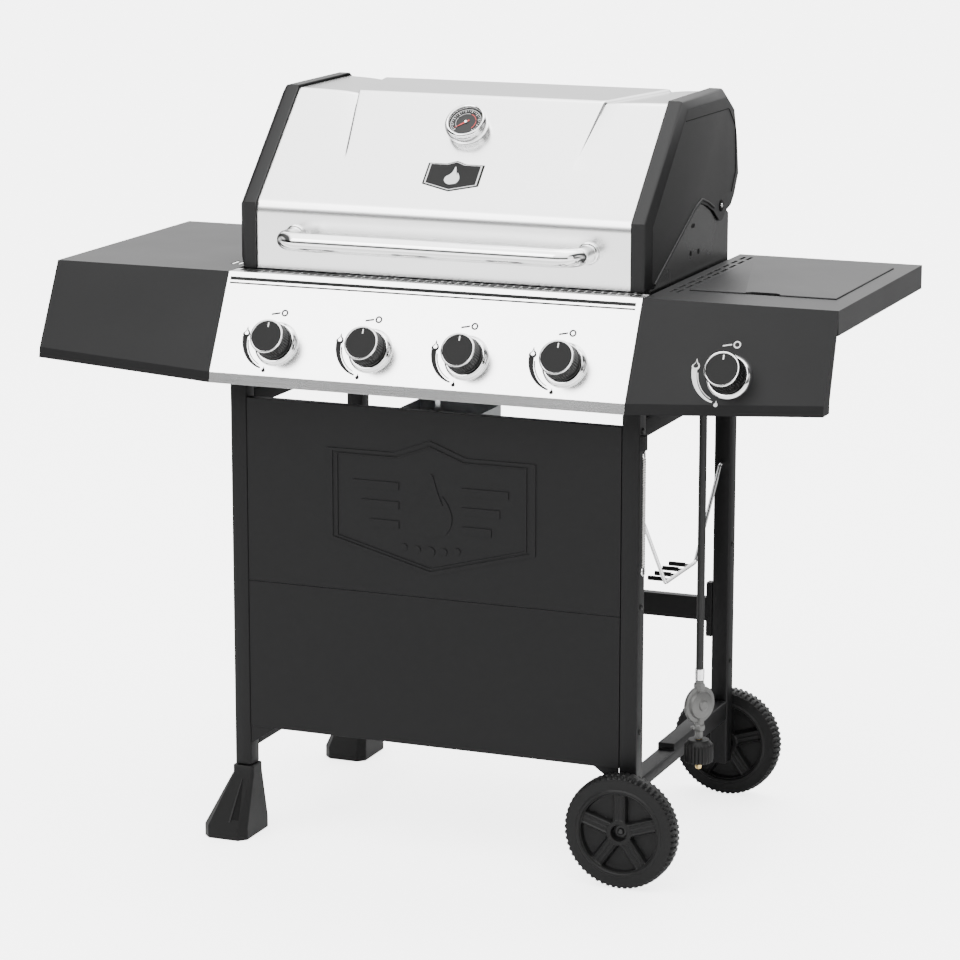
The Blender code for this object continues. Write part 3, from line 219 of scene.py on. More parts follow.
def united(name, pieces):
    """Several small pieces of one finish, kept as separate shells of one object."""
    bm = bmesh.new()
    for piece in pieces:
        bm.from_mesh(piece.data)
    mesh = bpy.data.meshes.new(name)
    bm.to_mesh(mesh)
    bm.free()
    mat = pieces[0].data.materials[0]
    for piece in pieces:
        bpy.data.objects.remove(piece)
    return link(name, mesh, mat, 40.0)


def cad_copy(node, flatten=True):
    """A copy of a CAD node's mesh, its loose triangles merged and, if asked, its flat faces made whole."""
    bm = bmesh.new()
    bm.from_mesh(frame["nodes"][node].data)
    bmesh.ops.remove_doubles(bm, verts=bm.verts, dist=CAD_WELD)
    if flatten:
        bmesh.ops.dissolve_limit(bm, angle_limit=math.radians(CAD_FLAT_ANGLE), verts=bm.verts,
                                 edges=bm.edges)
    return bm


def softened(node, mat, width):
    """A copy of a CAD node with its sharp edges rounded, which stands for the node."""
    bm = cad_copy(node)
    mesh = bpy.data.meshes.new(f"{node}_shell")
    bm.to_mesh(mesh)
    bm.free()
    obj = link(f"{node}_shell", mesh, mat, 30.0)
    bevel = obj.modifiers.new("rounded", "BEVEL")
    bevel.width = width
    bevel.segments = 2
    bevel.limit_method = "ANGLE"
    bevel.angle_limit = math.radians(SOFT_ANGLE)
    bevel.harden_normals = True
    keep(obj, body_of_node(node), slot_of(node), node)


def body_of_node(node):
    """The name of the body that carries a CAD node."""
    bodies = frame["record"]["behaviour"]["bodies"]
    return next(name for name, nodes in bodies.items() if node in nodes)


def slot_of(node):
    """The record's material slot of a CAD node."""
    return next(part["material_slot"] for part in frame["record"]["subparts"] if part["node"] == node)


def keep(piece, body, slot, *nodes):
    """Ride a finished piece on a body and say which CAD nodes it stands for; the slot is not used."""
    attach(piece, body)
    if nodes:
        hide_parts(*nodes)
    return piece


# ---------------------------------------------------------------- shader groups
def new_group(name, inputs, outputs):
    """A shader node group with its named sockets: {name: default} for inputs, {name: kind} for outputs."""
    group = bpy.data.node_groups.new(name, "ShaderNodeTree")
    for label, default in inputs.items():
        kind = {float: "NodeSocketFloat", tuple: "NodeSocketColor"}[type(default)]
        socket = group.interface.new_socket(name=label, in_out="INPUT", socket_type=kind)
        socket.default_value = default
    for label, kind in outputs.items():
        group.interface.new_socket(name=label, in_out="OUTPUT", socket_type="NodeSocket" + kind)
    return group, group.nodes.new("NodeGroupInput"), group.nodes.new("NodeGroupOutput")


def add(tree, kind, **values):
    """A node with input values by socket name."""
    node = tree.nodes.new(kind)
    for key, value in values.items():
        node.inputs[key].default_value = value
    return node


def math_node(tree, operation, first, second=None, clamp=False):
    """A Math node fed by sockets or numbers; returns its output."""
    node = tree.nodes.new("ShaderNodeMath")
    node.operation = operation
    node.use_clamp = clamp
    for slot, value in enumerate((first, second)):
        if value is None:
            continue
        if isinstance(value, (int, float)):
            node.inputs[slot].default_value = value
        else:
            tree.links.new(value, node.inputs[slot])
    return node.outputs[0]


def noise_at(tree, vector, scale, detail=2.0, rough=0.5):
    """A Noise texture's factor at a vector."""
    node = add(tree, "ShaderNodeTexNoise", Scale=scale, Detail=detail, Roughness=rough)
    tree.links.new(vector, node.inputs["Vector"])
    return node.outputs["Fac"]


def stretched(tree, vector, scale):
    """A vector scaled by three numbers, which stretches the pattern that reads it."""
    node = add(tree, "ShaderNodeMapping", Scale=scale)
    tree.links.new(vector, node.inputs["Vector"])
    return node.outputs["Vector"]


def scale_colour(group, into, gain, out):
    """The group's Colour input times a gain, sent to its Colour output."""
    tint = group.nodes.new("ShaderNodeVectorMath")
    tint.operation = "SCALE"
    group.links.new(into.outputs["Colour"], tint.inputs[0])
    group.links.new(gain, tint.inputs["Scale"])
    group.links.new(tint.outputs["Vector"], out.inputs["Colour"])


def coat_group():
    """Powder coat: fine orange peel in Height, and a colour and roughness that drift a little."""
    group, into, out = new_group("powder_coat", {"Colour": (0.03, 0.03, 0.03, 1.0), "Peel": 900.0,
                                                 "Drift": 0.12, "Roughness": 0.45},
                                 {"Colour": "Color", "Roughness": "Float", "Height": "Float"})
    coords = group.nodes.new("ShaderNodeTexCoord").outputs["Object"]
    peel = add(group, "ShaderNodeTexNoise", Detail=1.0)
    group.links.new(coords, peel.inputs["Vector"])
    group.links.new(into.outputs["Peel"], peel.inputs["Scale"])
    drift = noise_at(group, coords, 6.0, 3.0)
    dust = noise_at(group, coords, 60.0, 4.0, 0.6)
    swing = math_node(group, "MULTIPLY", math_node(group, "SUBTRACT", drift, 0.5), into.outputs["Drift"])
    speck = math_node(group, "MULTIPLY", math_node(group, "SUBTRACT", dust, 0.5), 0.10)
    gain = math_node(group, "ADD", math_node(group, "ADD", swing, speck), 1.0)
    scale_colour(group, into, gain, out)
    group.links.new(math_node(group, "ADD", into.outputs["Roughness"], swing), out.inputs["Roughness"])
    group.links.new(peel.outputs["Fac"], out.inputs["Height"])
    return group


def brushed_group():
    """Steel rubbed along X: long fine streaks in Height and Roughness, and broad cloudy tone."""
    group, into, out = new_group("brushed_metal", {"Colour": (0.7, 0.7, 0.7, 1.0), "Roughness": 0.25,
                                                   "Streak": 0.08, "Cloud": 0.05},
                                 {"Colour": "Color", "Roughness": "Float", "Height": "Float"})
    coords = group.nodes.new("ShaderNodeTexCoord").outputs["Object"]
    fine = noise_at(group, stretched(group, coords, (6.0, 1400.0, 1400.0)), 1.0, 3.0, 0.6)
    broad = noise_at(group, stretched(group, coords, (1.0, 160.0, 160.0)), 1.0, 2.0)
    cloud = noise_at(group, coords, 3.0, 2.0)
    streak = math_node(group, "MULTIPLY", math_node(group, "SUBTRACT", fine, 0.5), into.outputs["Streak"])
    tone = math_node(group, "MULTIPLY", math_node(group, "SUBTRACT", broad, 0.5), into.outputs["Cloud"])
    drift = math_node(group, "MULTIPLY", math_node(group, "SUBTRACT", cloud, 0.5), into.outputs["Cloud"])
    gain = math_node(group, "ADD", math_node(group, "ADD", tone, streak), 1.0)
    scale_colour(group, into, gain, out)
    rough = math_node(group, "ADD", into.outputs["Roughness"], math_node(group, "ADD", streak, drift),
                      clamp=True)
    group.links.new(rough, out.inputs["Roughness"])
    group.links.new(fine, out.inputs["Height"])
    return group


def cast_group():
    """Rough cast or moulded surface: grains in Height, paler where the grain stands up."""
    group, into, out = new_group("cast_grain", {"Colour": (0.04, 0.04, 0.04, 1.0), "Grain": 500.0,
                                                "Pale": 0.3, "Roughness": 0.6},
                                 {"Colour": "Color", "Roughness": "Float", "Height": "Float"})
    coords = group.nodes.new("ShaderNodeTexCoord").outputs["Object"]
    grain = add(group, "ShaderNodeTexNoise", Detail=3.0, Roughness=0.6)
    group.links.new(coords, grain.inputs["Vector"])
    group.links.new(into.outputs["Grain"], grain.inputs["Scale"])
    blotch = noise_at(group, coords, 14.0, 3.0)
    swing = math_node(group, "MULTIPLY", math_node(group, "SUBTRACT", grain.outputs["Fac"], 0.5),
                      into.outputs["Pale"])
    gain = math_node(group, "ADD", math_node(group, "ADD", swing, 0.92),
                     math_node(group, "MULTIPLY", blotch, 0.16))
    scale_colour(group, into, gain, out)
    rough = math_node(group, "ADD", into.outputs["Roughness"], math_node(group, "MULTIPLY", swing, 0.3))
    group.links.new(rough, out.inputs["Roughness"])
    group.links.new(grain.outputs["Fac"], out.inputs["Height"])
    return group


COAT = coat_group()
BRUSHED = brushed_group()
GRAIN = cast_group()


def grouped(name, group, bump, depth, metallic=0.0, coat=0.0, shine=0.5, **values):
    """A material whose Principled shader takes its colour, roughness and bump from one group."""
    mat = bpy.data.materials.new(name)
    mat.use_nodes = True
    tree = mat.node_tree
    shader = tree.nodes["Principled BSDF"]
    shader.inputs["Metallic"].default_value = metallic
    shader.inputs["Coat Weight"].default_value = coat
    shader.inputs["Specular IOR Level"].default_value = shine
    node = tree.nodes.new("ShaderNodeGroup")
    node.node_tree = group
    for key, value in values.items():
        node.inputs[key].default_value = value
    tree.links.new(node.outputs["Colour"], shader.inputs["Base Color"])
    tree.links.new(node.outputs["Roughness"], shader.inputs["Roughness"])
    relief = add(tree, "ShaderNodeBump", Strength=bump, Distance=depth)
    tree.links.new(node.outputs["Height"], relief.inputs["Height"])
    tree.links.new(relief.outputs["Normal"], shader.inputs["Normal"])
    return mat


PAINT = grouped("charcoal_powder_coat", COAT, 0.25, 0.0002, shine=0.17, Colour=(0.0045, 0.0045, 0.0047, 1.0),
                Roughness=0.48)
SHELF = grouped("shelf_powder_coat", COAT, 0.25, 0.0002, shine=0.30, Colour=(0.010, 0.010, 0.0104, 1.0),
                Roughness=0.42)
CAP_PAINT = grouped("hood_end_enamel", COAT, 0.15, 0.0002, shine=0.20, Colour=(0.008, 0.008, 0.0082, 1.0),
                    Roughness=0.42)
ENAMEL = grouped("black_enamel", COAT, 0.12, 0.0002, shine=0.35, Colour=(0.006, 0.006, 0.006, 1.0),
                 Roughness=0.28, Drift=0.3)
STEEL = grouped("brushed_steel", BRUSHED, 0.10, 0.0001, 1.0, Colour=(0.86, 0.86, 0.86, 1.0), Roughness=0.24)
PLAIN_STEEL = grouped("plain_steel_tube", BRUSHED, 0.10, 0.0001, 1.0, Colour=(0.45, 0.44, 0.43, 1.0),
                      Roughness=0.40)
POLISHED = grouped("polished_steel", BRUSHED, 0.04, 0.0001, 1.0, Colour=(0.90, 0.90, 0.90, 1.0),
                   Roughness=0.10, Streak=0.03)
GALVANISED = grouped("galvanised_sheet", GRAIN, 0.10, 0.0002, 1.0, Colour=(0.50, 0.51, 0.52, 1.0),
                     Grain=90.0, Roughness=0.38)
PLASTIC = grouped("moulded_plastic", GRAIN, 0.30, 0.0003, shine=0.20, Colour=(0.0045, 0.0045, 0.0045, 1.0),
                  Grain=700.0, Roughness=0.48)
KNOB_BLACK = grouped("dial_black", GRAIN, 0.20, 0.0002, shine=0.14, Colour=(0.003, 0.003, 0.003, 1.0),
                     Grain=900.0, Roughness=0.42)
RUBBER = grouped("hose_rubber", GRAIN, 0.20, 0.0002, shine=0.3, Colour=(0.007, 0.007, 0.007, 1.0),
                 Grain=400.0, Roughness=0.50)
CAST_IRON = grouped("cast_iron", GRAIN, 0.60, 0.0006, shine=0.3, Colour=(0.014, 0.0135, 0.013, 1.0),
                    Grain=380.0, Roughness=0.62, Pale=0.6)
ZINC = grouped("die_cast_zinc", GRAIN, 0.25, 0.0003, 0.6, shine=0.3, Colour=(0.11, 0.11, 0.107, 1.0),
               Grain=500.0, Roughness=0.42)
DARK_ZINC = grouped("blackened_steel", GRAIN, 0.20, 0.0002, 0.6, shine=0.3, Colour=(0.03, 0.03, 0.03, 1.0),
                    Grain=500.0, Roughness=0.40)
BRASS = grouped("turned_brass", BRUSHED, 0.15, 0.0001, 1.0, Colour=(0.66, 0.48, 0.20, 1.0), Roughness=0.32)
# Black print, also used as painted shade in the lip's vent slots and in the screws' cross recesses.
PRINT_AND_SHADE_BLACK = grouped("print_and_shade_black", COAT, 0.05, 0.0001, shine=0.2, Colour=(0.004, 0.004, 0.004, 1.0),
              Roughness=0.6)
# Painted shade: flat black for the shade in the caps' grooves, round the pivot pins, in the feet's pockets
# and in the firebox's holes.
SHADE_PAINT = grouped("crease_shadow_paint", COAT, 0.10, 0.0002, shine=0.1, Colour=(0.003, 0.003, 0.003, 1.0),
                    Roughness=0.65)
DIAL = grouped("gauge_dial_black", COAT, 0.03, 0.0001, coat=0.15, shine=0.2,
               Colour=(0.006, 0.006, 0.006, 1.0), Roughness=0.35)
SILVER_INK = grouped("printed_silver", COAT, 0.05, 0.0001, Colour=(0.62, 0.62, 0.62, 1.0), Roughness=0.5)
WHITE_INK = grouped("printed_white", COAT, 0.05, 0.0001, Colour=(0.80, 0.80, 0.79, 1.0), Roughness=0.5)
RED = grouped("needle_red", COAT, 0.05, 0.0001, Colour=(0.55, 0.02, 0.015, 1.0), Roughness=0.4)


# ---------------------------------------------------------------- gas hose
LEG_FRONT_Y = -0.235        # the front legs' front face, from the cart's own zero
CART_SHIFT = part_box("front_right_leg")[0][1] - LEG_FRONT_Y
HOSE_R = 0.0060
HOSE_EXIT = (0.4000, -0.22954 + CART_SHIFT, 0.78734)
HOSE_RUN = [(0.000, 0.0000), (0.020, 0.0000), (0.052, -0.0060), (0.0785, -0.0223), (0.0965, -0.0593),
            (0.0995, -0.0973)]
HOSE_HANG_Y = -0.1300 + CART_SHIFT
HOSE_HANG_Z = (0.6200, 0.5400, 0.4600, 0.3800, 0.3003)


def make_hose():
    """The rubber hose from the manifold's inlet, behind the right fascia, down to the regulator."""
    x, y, z = HOSE_EXIT
    knots = [(x, y + run, z + rise) for run, rise in HOSE_RUN] + [(x, HOSE_HANG_Y,
                                                                   low) for low in HOSE_HANG_Z]
    path = smooth_route(knots, 8)
    hose = carried("rubber_gas_hose", path, HOSE_R, RUBBER, sides=24)
    keep(hose, "cart", "hose_rubber", "gas_hose")
    fittings = make_regulator() + [make_tank_nut()]
    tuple(knots[0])


# ---------------------------------------------------------------- regulator and tank fittings
REGULATOR_PLACE = np.array((0.400, HOSE_HANG_Y, 0.262))
REGULATOR_TURN = math.radians(60.0)


def make_regulator():
    """The cast regulator disc, its hexagonal column, nipple and lever, and the hose's crimp."""
    facing = (math.sin(REGULATOR_TURN), -math.cos(REGULATOR_TURN), 0.0)
    disc = [(0.0, 0.0128), (0.0060, 0.0130), (0.0078, 0.0118), (0.0086, 0.0096), (0.0180, 0.0086),
            (0.0205, 0.0074), (0.0218, 0.0050), (0.0224, 0.0034), (0.0282, 0.0032), (0.0290, 0.0022),
            (0.0290, -0.0022), (0.0282, -0.0032), (0.0224, -0.0034), (0.0216, -0.0058), (0.0196, -0.0084),
            (0.0090, -0.0108), (0.0, -0.0112)]
    body = turned("regulator_body", disc, REGULATOR_PLACE, facing, ZINC, 72)
    pieces = [keep(body, "cart", "zinc_bolt", "regulator")]
    x, y = REGULATOR_PLACE[:2]
    column = [(0.0, 0.2082), (0.0066, 0.2082), (0.0066, 0.2200), (0.0088, 0.2215), (0.0095, 0.2240),
              (0.0095, 0.2290), (0.0080, 0.2310), (0.0080, 0.2850), (0.0092, 0.2860), (0.0092, 0.2940),
              (0.0080, 0.2952), (0.0070, 0.2960), (0.0070, 0.3000), (0.0, 0.3000)]
    post = turned("regulator_column", column, (x, y, 0.0), (0, 0, 1), ZINC, 6, 20.0)
    pieces.append(keep(post, "cart", "zinc_bolt"))
    nipple = turned("tank_nipple", [(0.0, 0.1600), (0.0034, 0.1600), (0.0048, 0.1618), (0.0050, 0.1640),
                                    (0.0050, 0.2150), (0.0, 0.2150)], (x, y, 0.0), (0, 0, 1), BRASS, 32)
    pieces.append(keep(nipple, "cart", "brass"))
    crimp = [(0.0061, 0.3010), (0.0070, 0.3010), (0.0074, 0.3022), (0.0070, 0.3036), (0.0074, 0.3052),
             (0.0070, 0.3068), (0.0074, 0.3084), (0.0070, 0.3100), (0.0074, 0.3116), (0.0072, 0.3180),
             (0.0061, 0.3184)]
    ring = turned("hose_crimp", crimp, (x, y, 0.0), (0, 0, 1), POLISHED, 40)
    pieces.append(keep(ring, "cart", "brass"))
    lever = np.array(((-0.0150, -0.0030), (0.0040, -0.0042), (0.0040, 0.0042), (-0.0150, 0.0030)))
    arm = plate("regulator_lever", lever, (x, y, 0.2262), (0.5, 0.866, 0.0), (-0.866, 0.5, 0.0), 0.0030,
                ZINC)
    pieces.append(keep(arm, "cart", "zinc_bolt"))
    return pieces


def make_tank_nut():
    """The ribbed hand nut that grips the gas tank's valve."""
    line = [(0.0058, 0.1710, 0), (0.0190, 0.1710, 0), (0.0208, 0.1716, 0), (0.0222, 0.1734, 1),
            (0.0225, 0.1760, 1), (0.0225, 0.1960, 1), (0.0222, 0.1990, 1), (0.0205, 0.2008, 0),
            (0.0170, 0.2040, 0), (0.0160, 0.2066, 0), (0.0150, 0.2070, 0), (0.0058, 0.2070, 0)]
    x, y = REGULATOR_PLACE[:2]
    profile = np.asarray(line)
    t = np.linspace(0.0, 2 * math.pi, 24 * 8, endpoint=False)
    radius = profile[:, :1] - 0.0016 * profile[:, 2:3] * np.cos(12 * t) ** 2
    height = np.broadcast_to(profile[:, 1:2], radius.shape)
    points = np.stack([x + radius * np.cos(t), y + radius * np.sin(t), height], -1)
    faces = grid_faces(len(profile), len(t), wrap_rows=True, wrap_cols=True)
    nut = link("tank_hand_nut", mesh_of("tank_hand_nut", points, faces), PLASTIC, 40.0)
    return keep(nut, "tank_nut", "moulded_plastic", "tank_nut")


make_hose()


# ---------------------------------------------------------------- cart, shelves and firebox
def finish_cart():
    """Rounded, painted copies of the plain CAD pieces."""
    for node in ("front_left_leg", "front_right_leg", "rear_left_leg", "rear_right_leg", "left_top_rail",
                 "right_top_rail", "left_lower_rail", "right_lower_rail", "rear_brace"):
        softened(node, PAINT, 0.0012)
    for node in ("upper_front_panel", "lower_front_panel", "left_fascia", "right_fascia"):
        softened(node, PAINT, 0.0006)
    for node in ("left_shelf", "right_shelf", "side_burner_lid"):
        softened(node, SHELF, 0.0005)
    for node in ("front_left_foot", "rear_left_foot"):
        softened(node, PLASTIC, 0.0020)
    for node in ("firebox", "side_burner_bowl", "flame_tamers"):
        softened(node, ENAMEL, 0.0005)
    for node in ("left_grate", "right_grate", "pan_support"):
        softened(node, CAST_IRON, 0.0010)
    for node in ("grease_tray", "grease_cup"):
        softened(node, GALVANISED, 0.0004)
    softened("control_panel", STEEL, 0.0005)


def paint_nodes(mat, *nodes):
    """Give CAD nodes a finish in their own material slots."""
    for node in nodes:
        obj = frame["nodes"][node]
        for slot in obj.material_slots:
            slot.material = mat


finish_cart()
paint_nodes(POLISHED, "tank_wire", "warming_rack", "left_hinge_pin", "right_hinge_pin")
paint_nodes(PLAIN_STEEL, "burner_1", "burner_2", "burner_3", "burner_4")
paint_nodes(ZINC, "gas_manifold")
paint_nodes(BRASS, "side_burner_head", *[f"knob_stem_{i}" for i in range(1, 6)])


# ---------------------------------------------------------------- hood
HOOD_LINE = [(-0.195, 0.903), (-0.195, 1.003), (-0.033, 1.1655), (0.160, 1.166), (0.205, 1.139),
             (0.222, 1.090), (0.2215, 1.070)]
HOOD_FOLD_R = 0.014
HOOD_FRONT_R = 0.036          # the softer fold between the front and the slope
HOOD_SHEET = 0.0016
HOOD_INSET = 0.0010
HOOD_SKIN_X = 0.3057
CREASE_FOOT = (1.071, 0.188)          # height on the front slope, and half-width there
CREASE_BEND_X = 0.206
CREASE_REAR = (0.190, 0.249)          # depth on the top, and half-width there
CREASE_DEPTH = 0.0050
SLOPE_UP = np.array((0.0, 0.162, 0.1625)) / math.hypot(0.162, 0.1625)
SLOPE_OUT = np.array((0.0, -SLOPE_UP[2], SLOPE_UP[1]))
X_AXIS = np.array((1.0, 0.0, 0.0))


def shifted(points):
    """Outline points (y, z) of the cart moved into the frame."""
    return np.asarray(points, float) + (CART_SHIFT, 0.0)


def rounded(points, radius, steps=6):
    """A line whose every corner is an arc touching both sides at radius / tan(half the corner) from it.

    The radius is one number, or one for each corner.
    """
    p = np.asarray(points, float)
    out = [p[0]]
    radii = np.broadcast_to(radius, len(p) - 2)
    for a, b, c, bend in zip(p, p[1:], p[2:], radii):
        u = (a - b) / np.linalg.norm(a - b)
        v = (c - b) / np.linalg.norm(c - b)
        half = math.acos(np.clip(u @ v, -1.0, 1.0)) / 2
        sweep = math.pi - 2 * half
        if sweep < 0.03:
            out.append(b)
            continue
        reach = min(bend / math.tan(half), 0.49 * np.linalg.norm(a - b), 0.49 * np.linalg.norm(c - b))
        centre = b + (u + v) / np.linalg.norm(u + v) * reach / math.cos(half)
        start, end = b + u * reach - centre, b + v * reach - centre
        for t in np.linspace(0.0, 1.0, steps + 1):
            arc = math.sin((1 - t) * sweep) * start + math.sin(t * sweep) * end
            out.append(centre + arc / math.sin(sweep))
    out.append(p[-1])
    return np.array(out)


def resampled(line, spacing):
    """A line with extra points, so that none of its steps is longer than the spacing."""
    length = np.concatenate([[0.0], np.cumsum(np.linalg.norm(np.diff(line, axis=0), axis=1))])
    count = int(length[-1] / spacing) + 1
    at = np.unique(np.round(np.concatenate([length, np.linspace(0.0, length[-1], count)]), 6))
    at = at[np.concatenate([[True], np.diff(at) > 2e-4])]
    return np.stack([np.interp(at, length, line[:, k]) for k in range(line.shape[1])], -1)


def line_normals(line):
    """Unit normals of a (y, z) line, to the left of its run."""
    run = np.gradient(line, axis=0)
    run /= np.linalg.norm(run, axis=1)[:, None]
    return np.stack([-run[:, 1], run[:, 0]], -1)


def walled(name, outer, inner, mat, smooth=40.0):
    """Two grids of points of one shape, joined round their edges into a closed sheet."""
    rows, cols = outer.shape[:2]
    count = rows * cols
    faces = grid_faces(rows, cols)
    edge = np.concatenate([np.arange(cols), np.arange(1, rows) * cols + cols - 1,
                           (rows - 1) * cols + np.arange(cols - 2, -1, -1),
                           np.arange(rows - 2, 0, -1) * cols])
    rim = np.stack([edge, np.roll(edge, -1), np.roll(edge, -1) + count, edge + count], -1)
    points = np.concatenate([outer.reshape(-1, 3), inner.reshape(-1, 3)])
    return link(name, mesh_of(name, points, np.concatenate([faces, faces[:, ::-1] + count, rim])), mat,
                smooth)


def crease_columns(crease_x):
    """x at each column of a row: an even middle, close columns at the crease, then on to the end."""
    near = np.array((-0.0080, -0.0040, -0.0025, -0.0012, 0.0, 0.0008, 0.0020, 0.0045, 0.0090, 0.0170,
                     0.0280))
    side = np.concatenate([crease_x + near, [(crease_x + near[-1] + HOOD_SKIN_X) / 2, HOOD_SKIN_X]])
    middle = np.linspace(-side[0], side[0], 22)[1:-1]
    return np.concatenate([-side[::-1], middle, side])


def make_hood_skin():
    """The folded steel skin: its line swept along X and pressed in outside the two creases.

    The press at distance t outside a crease is depth(s) smooth(1 + t / 3 mm) while t < 0, and
    depth(s) e^(-t / 28 mm) after it.
    """
    line = resampled(rounded(shifted(HOOD_LINE), [HOOD_FRONT_R] + [HOOD_FOLD_R] * 4, 8), 0.006)
    out = line_normals(line)
    line = line - out * HOOD_INSET
    bend_y = HOOD_LINE[2][0] + CART_SHIFT
    rear_y = CREASE_REAR[0] + CART_SHIFT
    on_slope = np.clip((line[:, 1] - CREASE_FOOT[0]) / (HOOD_LINE[2][1] - CREASE_FOOT[0]), 0.0, 1.0)
    on_top = np.clip((line[:, 0] - bend_y) / (rear_y - bend_y), 0.0, 1.0)
    crease_x = CREASE_FOOT[1] + (CREASE_BEND_X - CREASE_FOOT[1]) * on_slope
    crease_x = crease_x + (CREASE_REAR[1] - CREASE_BEND_X) * on_top
    rise = np.where(line[:, 0] < rear_y - 0.03, on_slope ** 0.7,
                    np.clip((rear_y - line[:, 0]) / 0.03, 0.0, 1.0))
    rise = np.where(line[:, 1] < 1.05, 0.0, rise)
    x = np.stack([crease_columns(c) for c in crease_x])
    t = np.abs(x) - crease_x[:, None]
    ease = np.clip(1 + t / 0.003, 0.0, 1.0)
    press = np.where(t < 0, ease ** 2 * (3 - 2 * ease), np.exp(-np.maximum(t, 0.0) / 0.028))
    press = press * np.clip((HOOD_SKIN_X - np.abs(x)) / 0.01, 0.0, 1.0) * rise[:, None] * CREASE_DEPTH
    lift = -press

    def skin(depth):
        """The skin's points at a depth under its outer face."""
        yz = line[:, None] + out[:, None] * (lift - depth)[:, :, None]
        return np.concatenate([x[:, :, None], yz], -1)

    piece = walled("hood_skin", skin(0.0), skin(HOOD_SHEET), STEEL, 60.0)
    keep(piece, "lid", "brushed_steel", "lid_skin")


HANDLE_X = 0.239
HANDLE_Z = 0.956
HANDLE_R = 0.014
HANDLE_BEND_R = 0.035
HOOD_FACE_Y = -0.1942 + CART_SHIFT
HANDLE_Y = HOOD_FACE_Y - 0.062


def make_handle():
    """A polished tube bent round into two posts, each in a stepped collar on the hood's face."""
    face = HOOD_FACE_Y - 0.0003
    path = rounded([(-HANDLE_X, face, HANDLE_Z), (-HANDLE_X, HANDLE_Y, HANDLE_Z),
                    (HANDLE_X, HANDLE_Y, HANDLE_Z), (HANDLE_X, face, HANDLE_Z)], HANDLE_BEND_R, 14)
    bar = carried("handle_bar", resampled(path, 0.012), HANDLE_R, POLISHED, sides=40)
    keep(bar, "lid", "brushed_steel", "lid_handle")
    collar = [(0.0141, 0.0), (0.0166, 0.0), (0.0172, 0.0010), (0.0172, 0.0036), (0.0164, 0.0048),
              (0.0155, 0.0052), (0.0141, 0.0052)]
    for side, x in (("left", -HANDLE_X), ("right", HANDLE_X)):
        ring = turned(f"{side}_handle_collar", collar, (x, face, HANDLE_Z), (0, -1, 0), POLISHED, 48)
        keep(ring, "lid", "brushed_steel")


GAUGE_UP = 0.163
GAUGE_R = 0.0335


def slope_point(across, up, out=0.0):
    """A point on the hood's front slope: across from the middle, up from the lower bend, out of the skin."""
    foot = np.array((0.0, HOOD_LINE[1][0] + CART_SHIFT, HOOD_LINE[1][1]))
    return foot + X_AXIS * across + SLOPE_UP * up + SLOPE_OUT * (out - HOOD_INSET)


def arc_band(r_in, r_out, start, end):
    """The outline of a ring's sector, in degrees clockwise from the top."""
    t = np.radians(np.linspace(start, end, 24))
    outer = np.stack([np.sin(t), np.cos(t)], -1)
    return np.concatenate([outer * r_out, outer[::-1] * r_in])


def band_plate(name, outer, inner, origin, across, up, thick, mat):
    """A flat band between two outlines of equally many points, given a thickness along across x up."""
    across, up = np.asarray(across, float), np.asarray(up, float)
    out = np.cross(across, up)
    outline = np.concatenate([outer, inner])
    base = np.asarray(origin, float) + outline[:, :1] * across + outline[:, 1:] * up
    n = len(outer)
    i = np.arange(n)
    j = (i + 1) % n
    top = np.stack([i, j, n + j, n + i], -1)
    outside = np.stack([i, j, 2 * n + j, 2 * n + i], -1)
    inside = np.stack([n + i, n + j, 3 * n + j, 3 * n + i], -1)
    faces = np.concatenate([top, top + 2 * n, outside, inside])
    return link(name, mesh_of(name, np.concatenate([base, base + out * thick]), faces), mat, 0.0)


def circle(radius, steps=48, centre=(0.0, 0.0)):
    """Points of a circle."""
    t = np.linspace(0.0, 2 * math.pi, steps, endpoint=False)
    return np.stack([np.cos(t), np.sin(t)], -1) * radius + centre


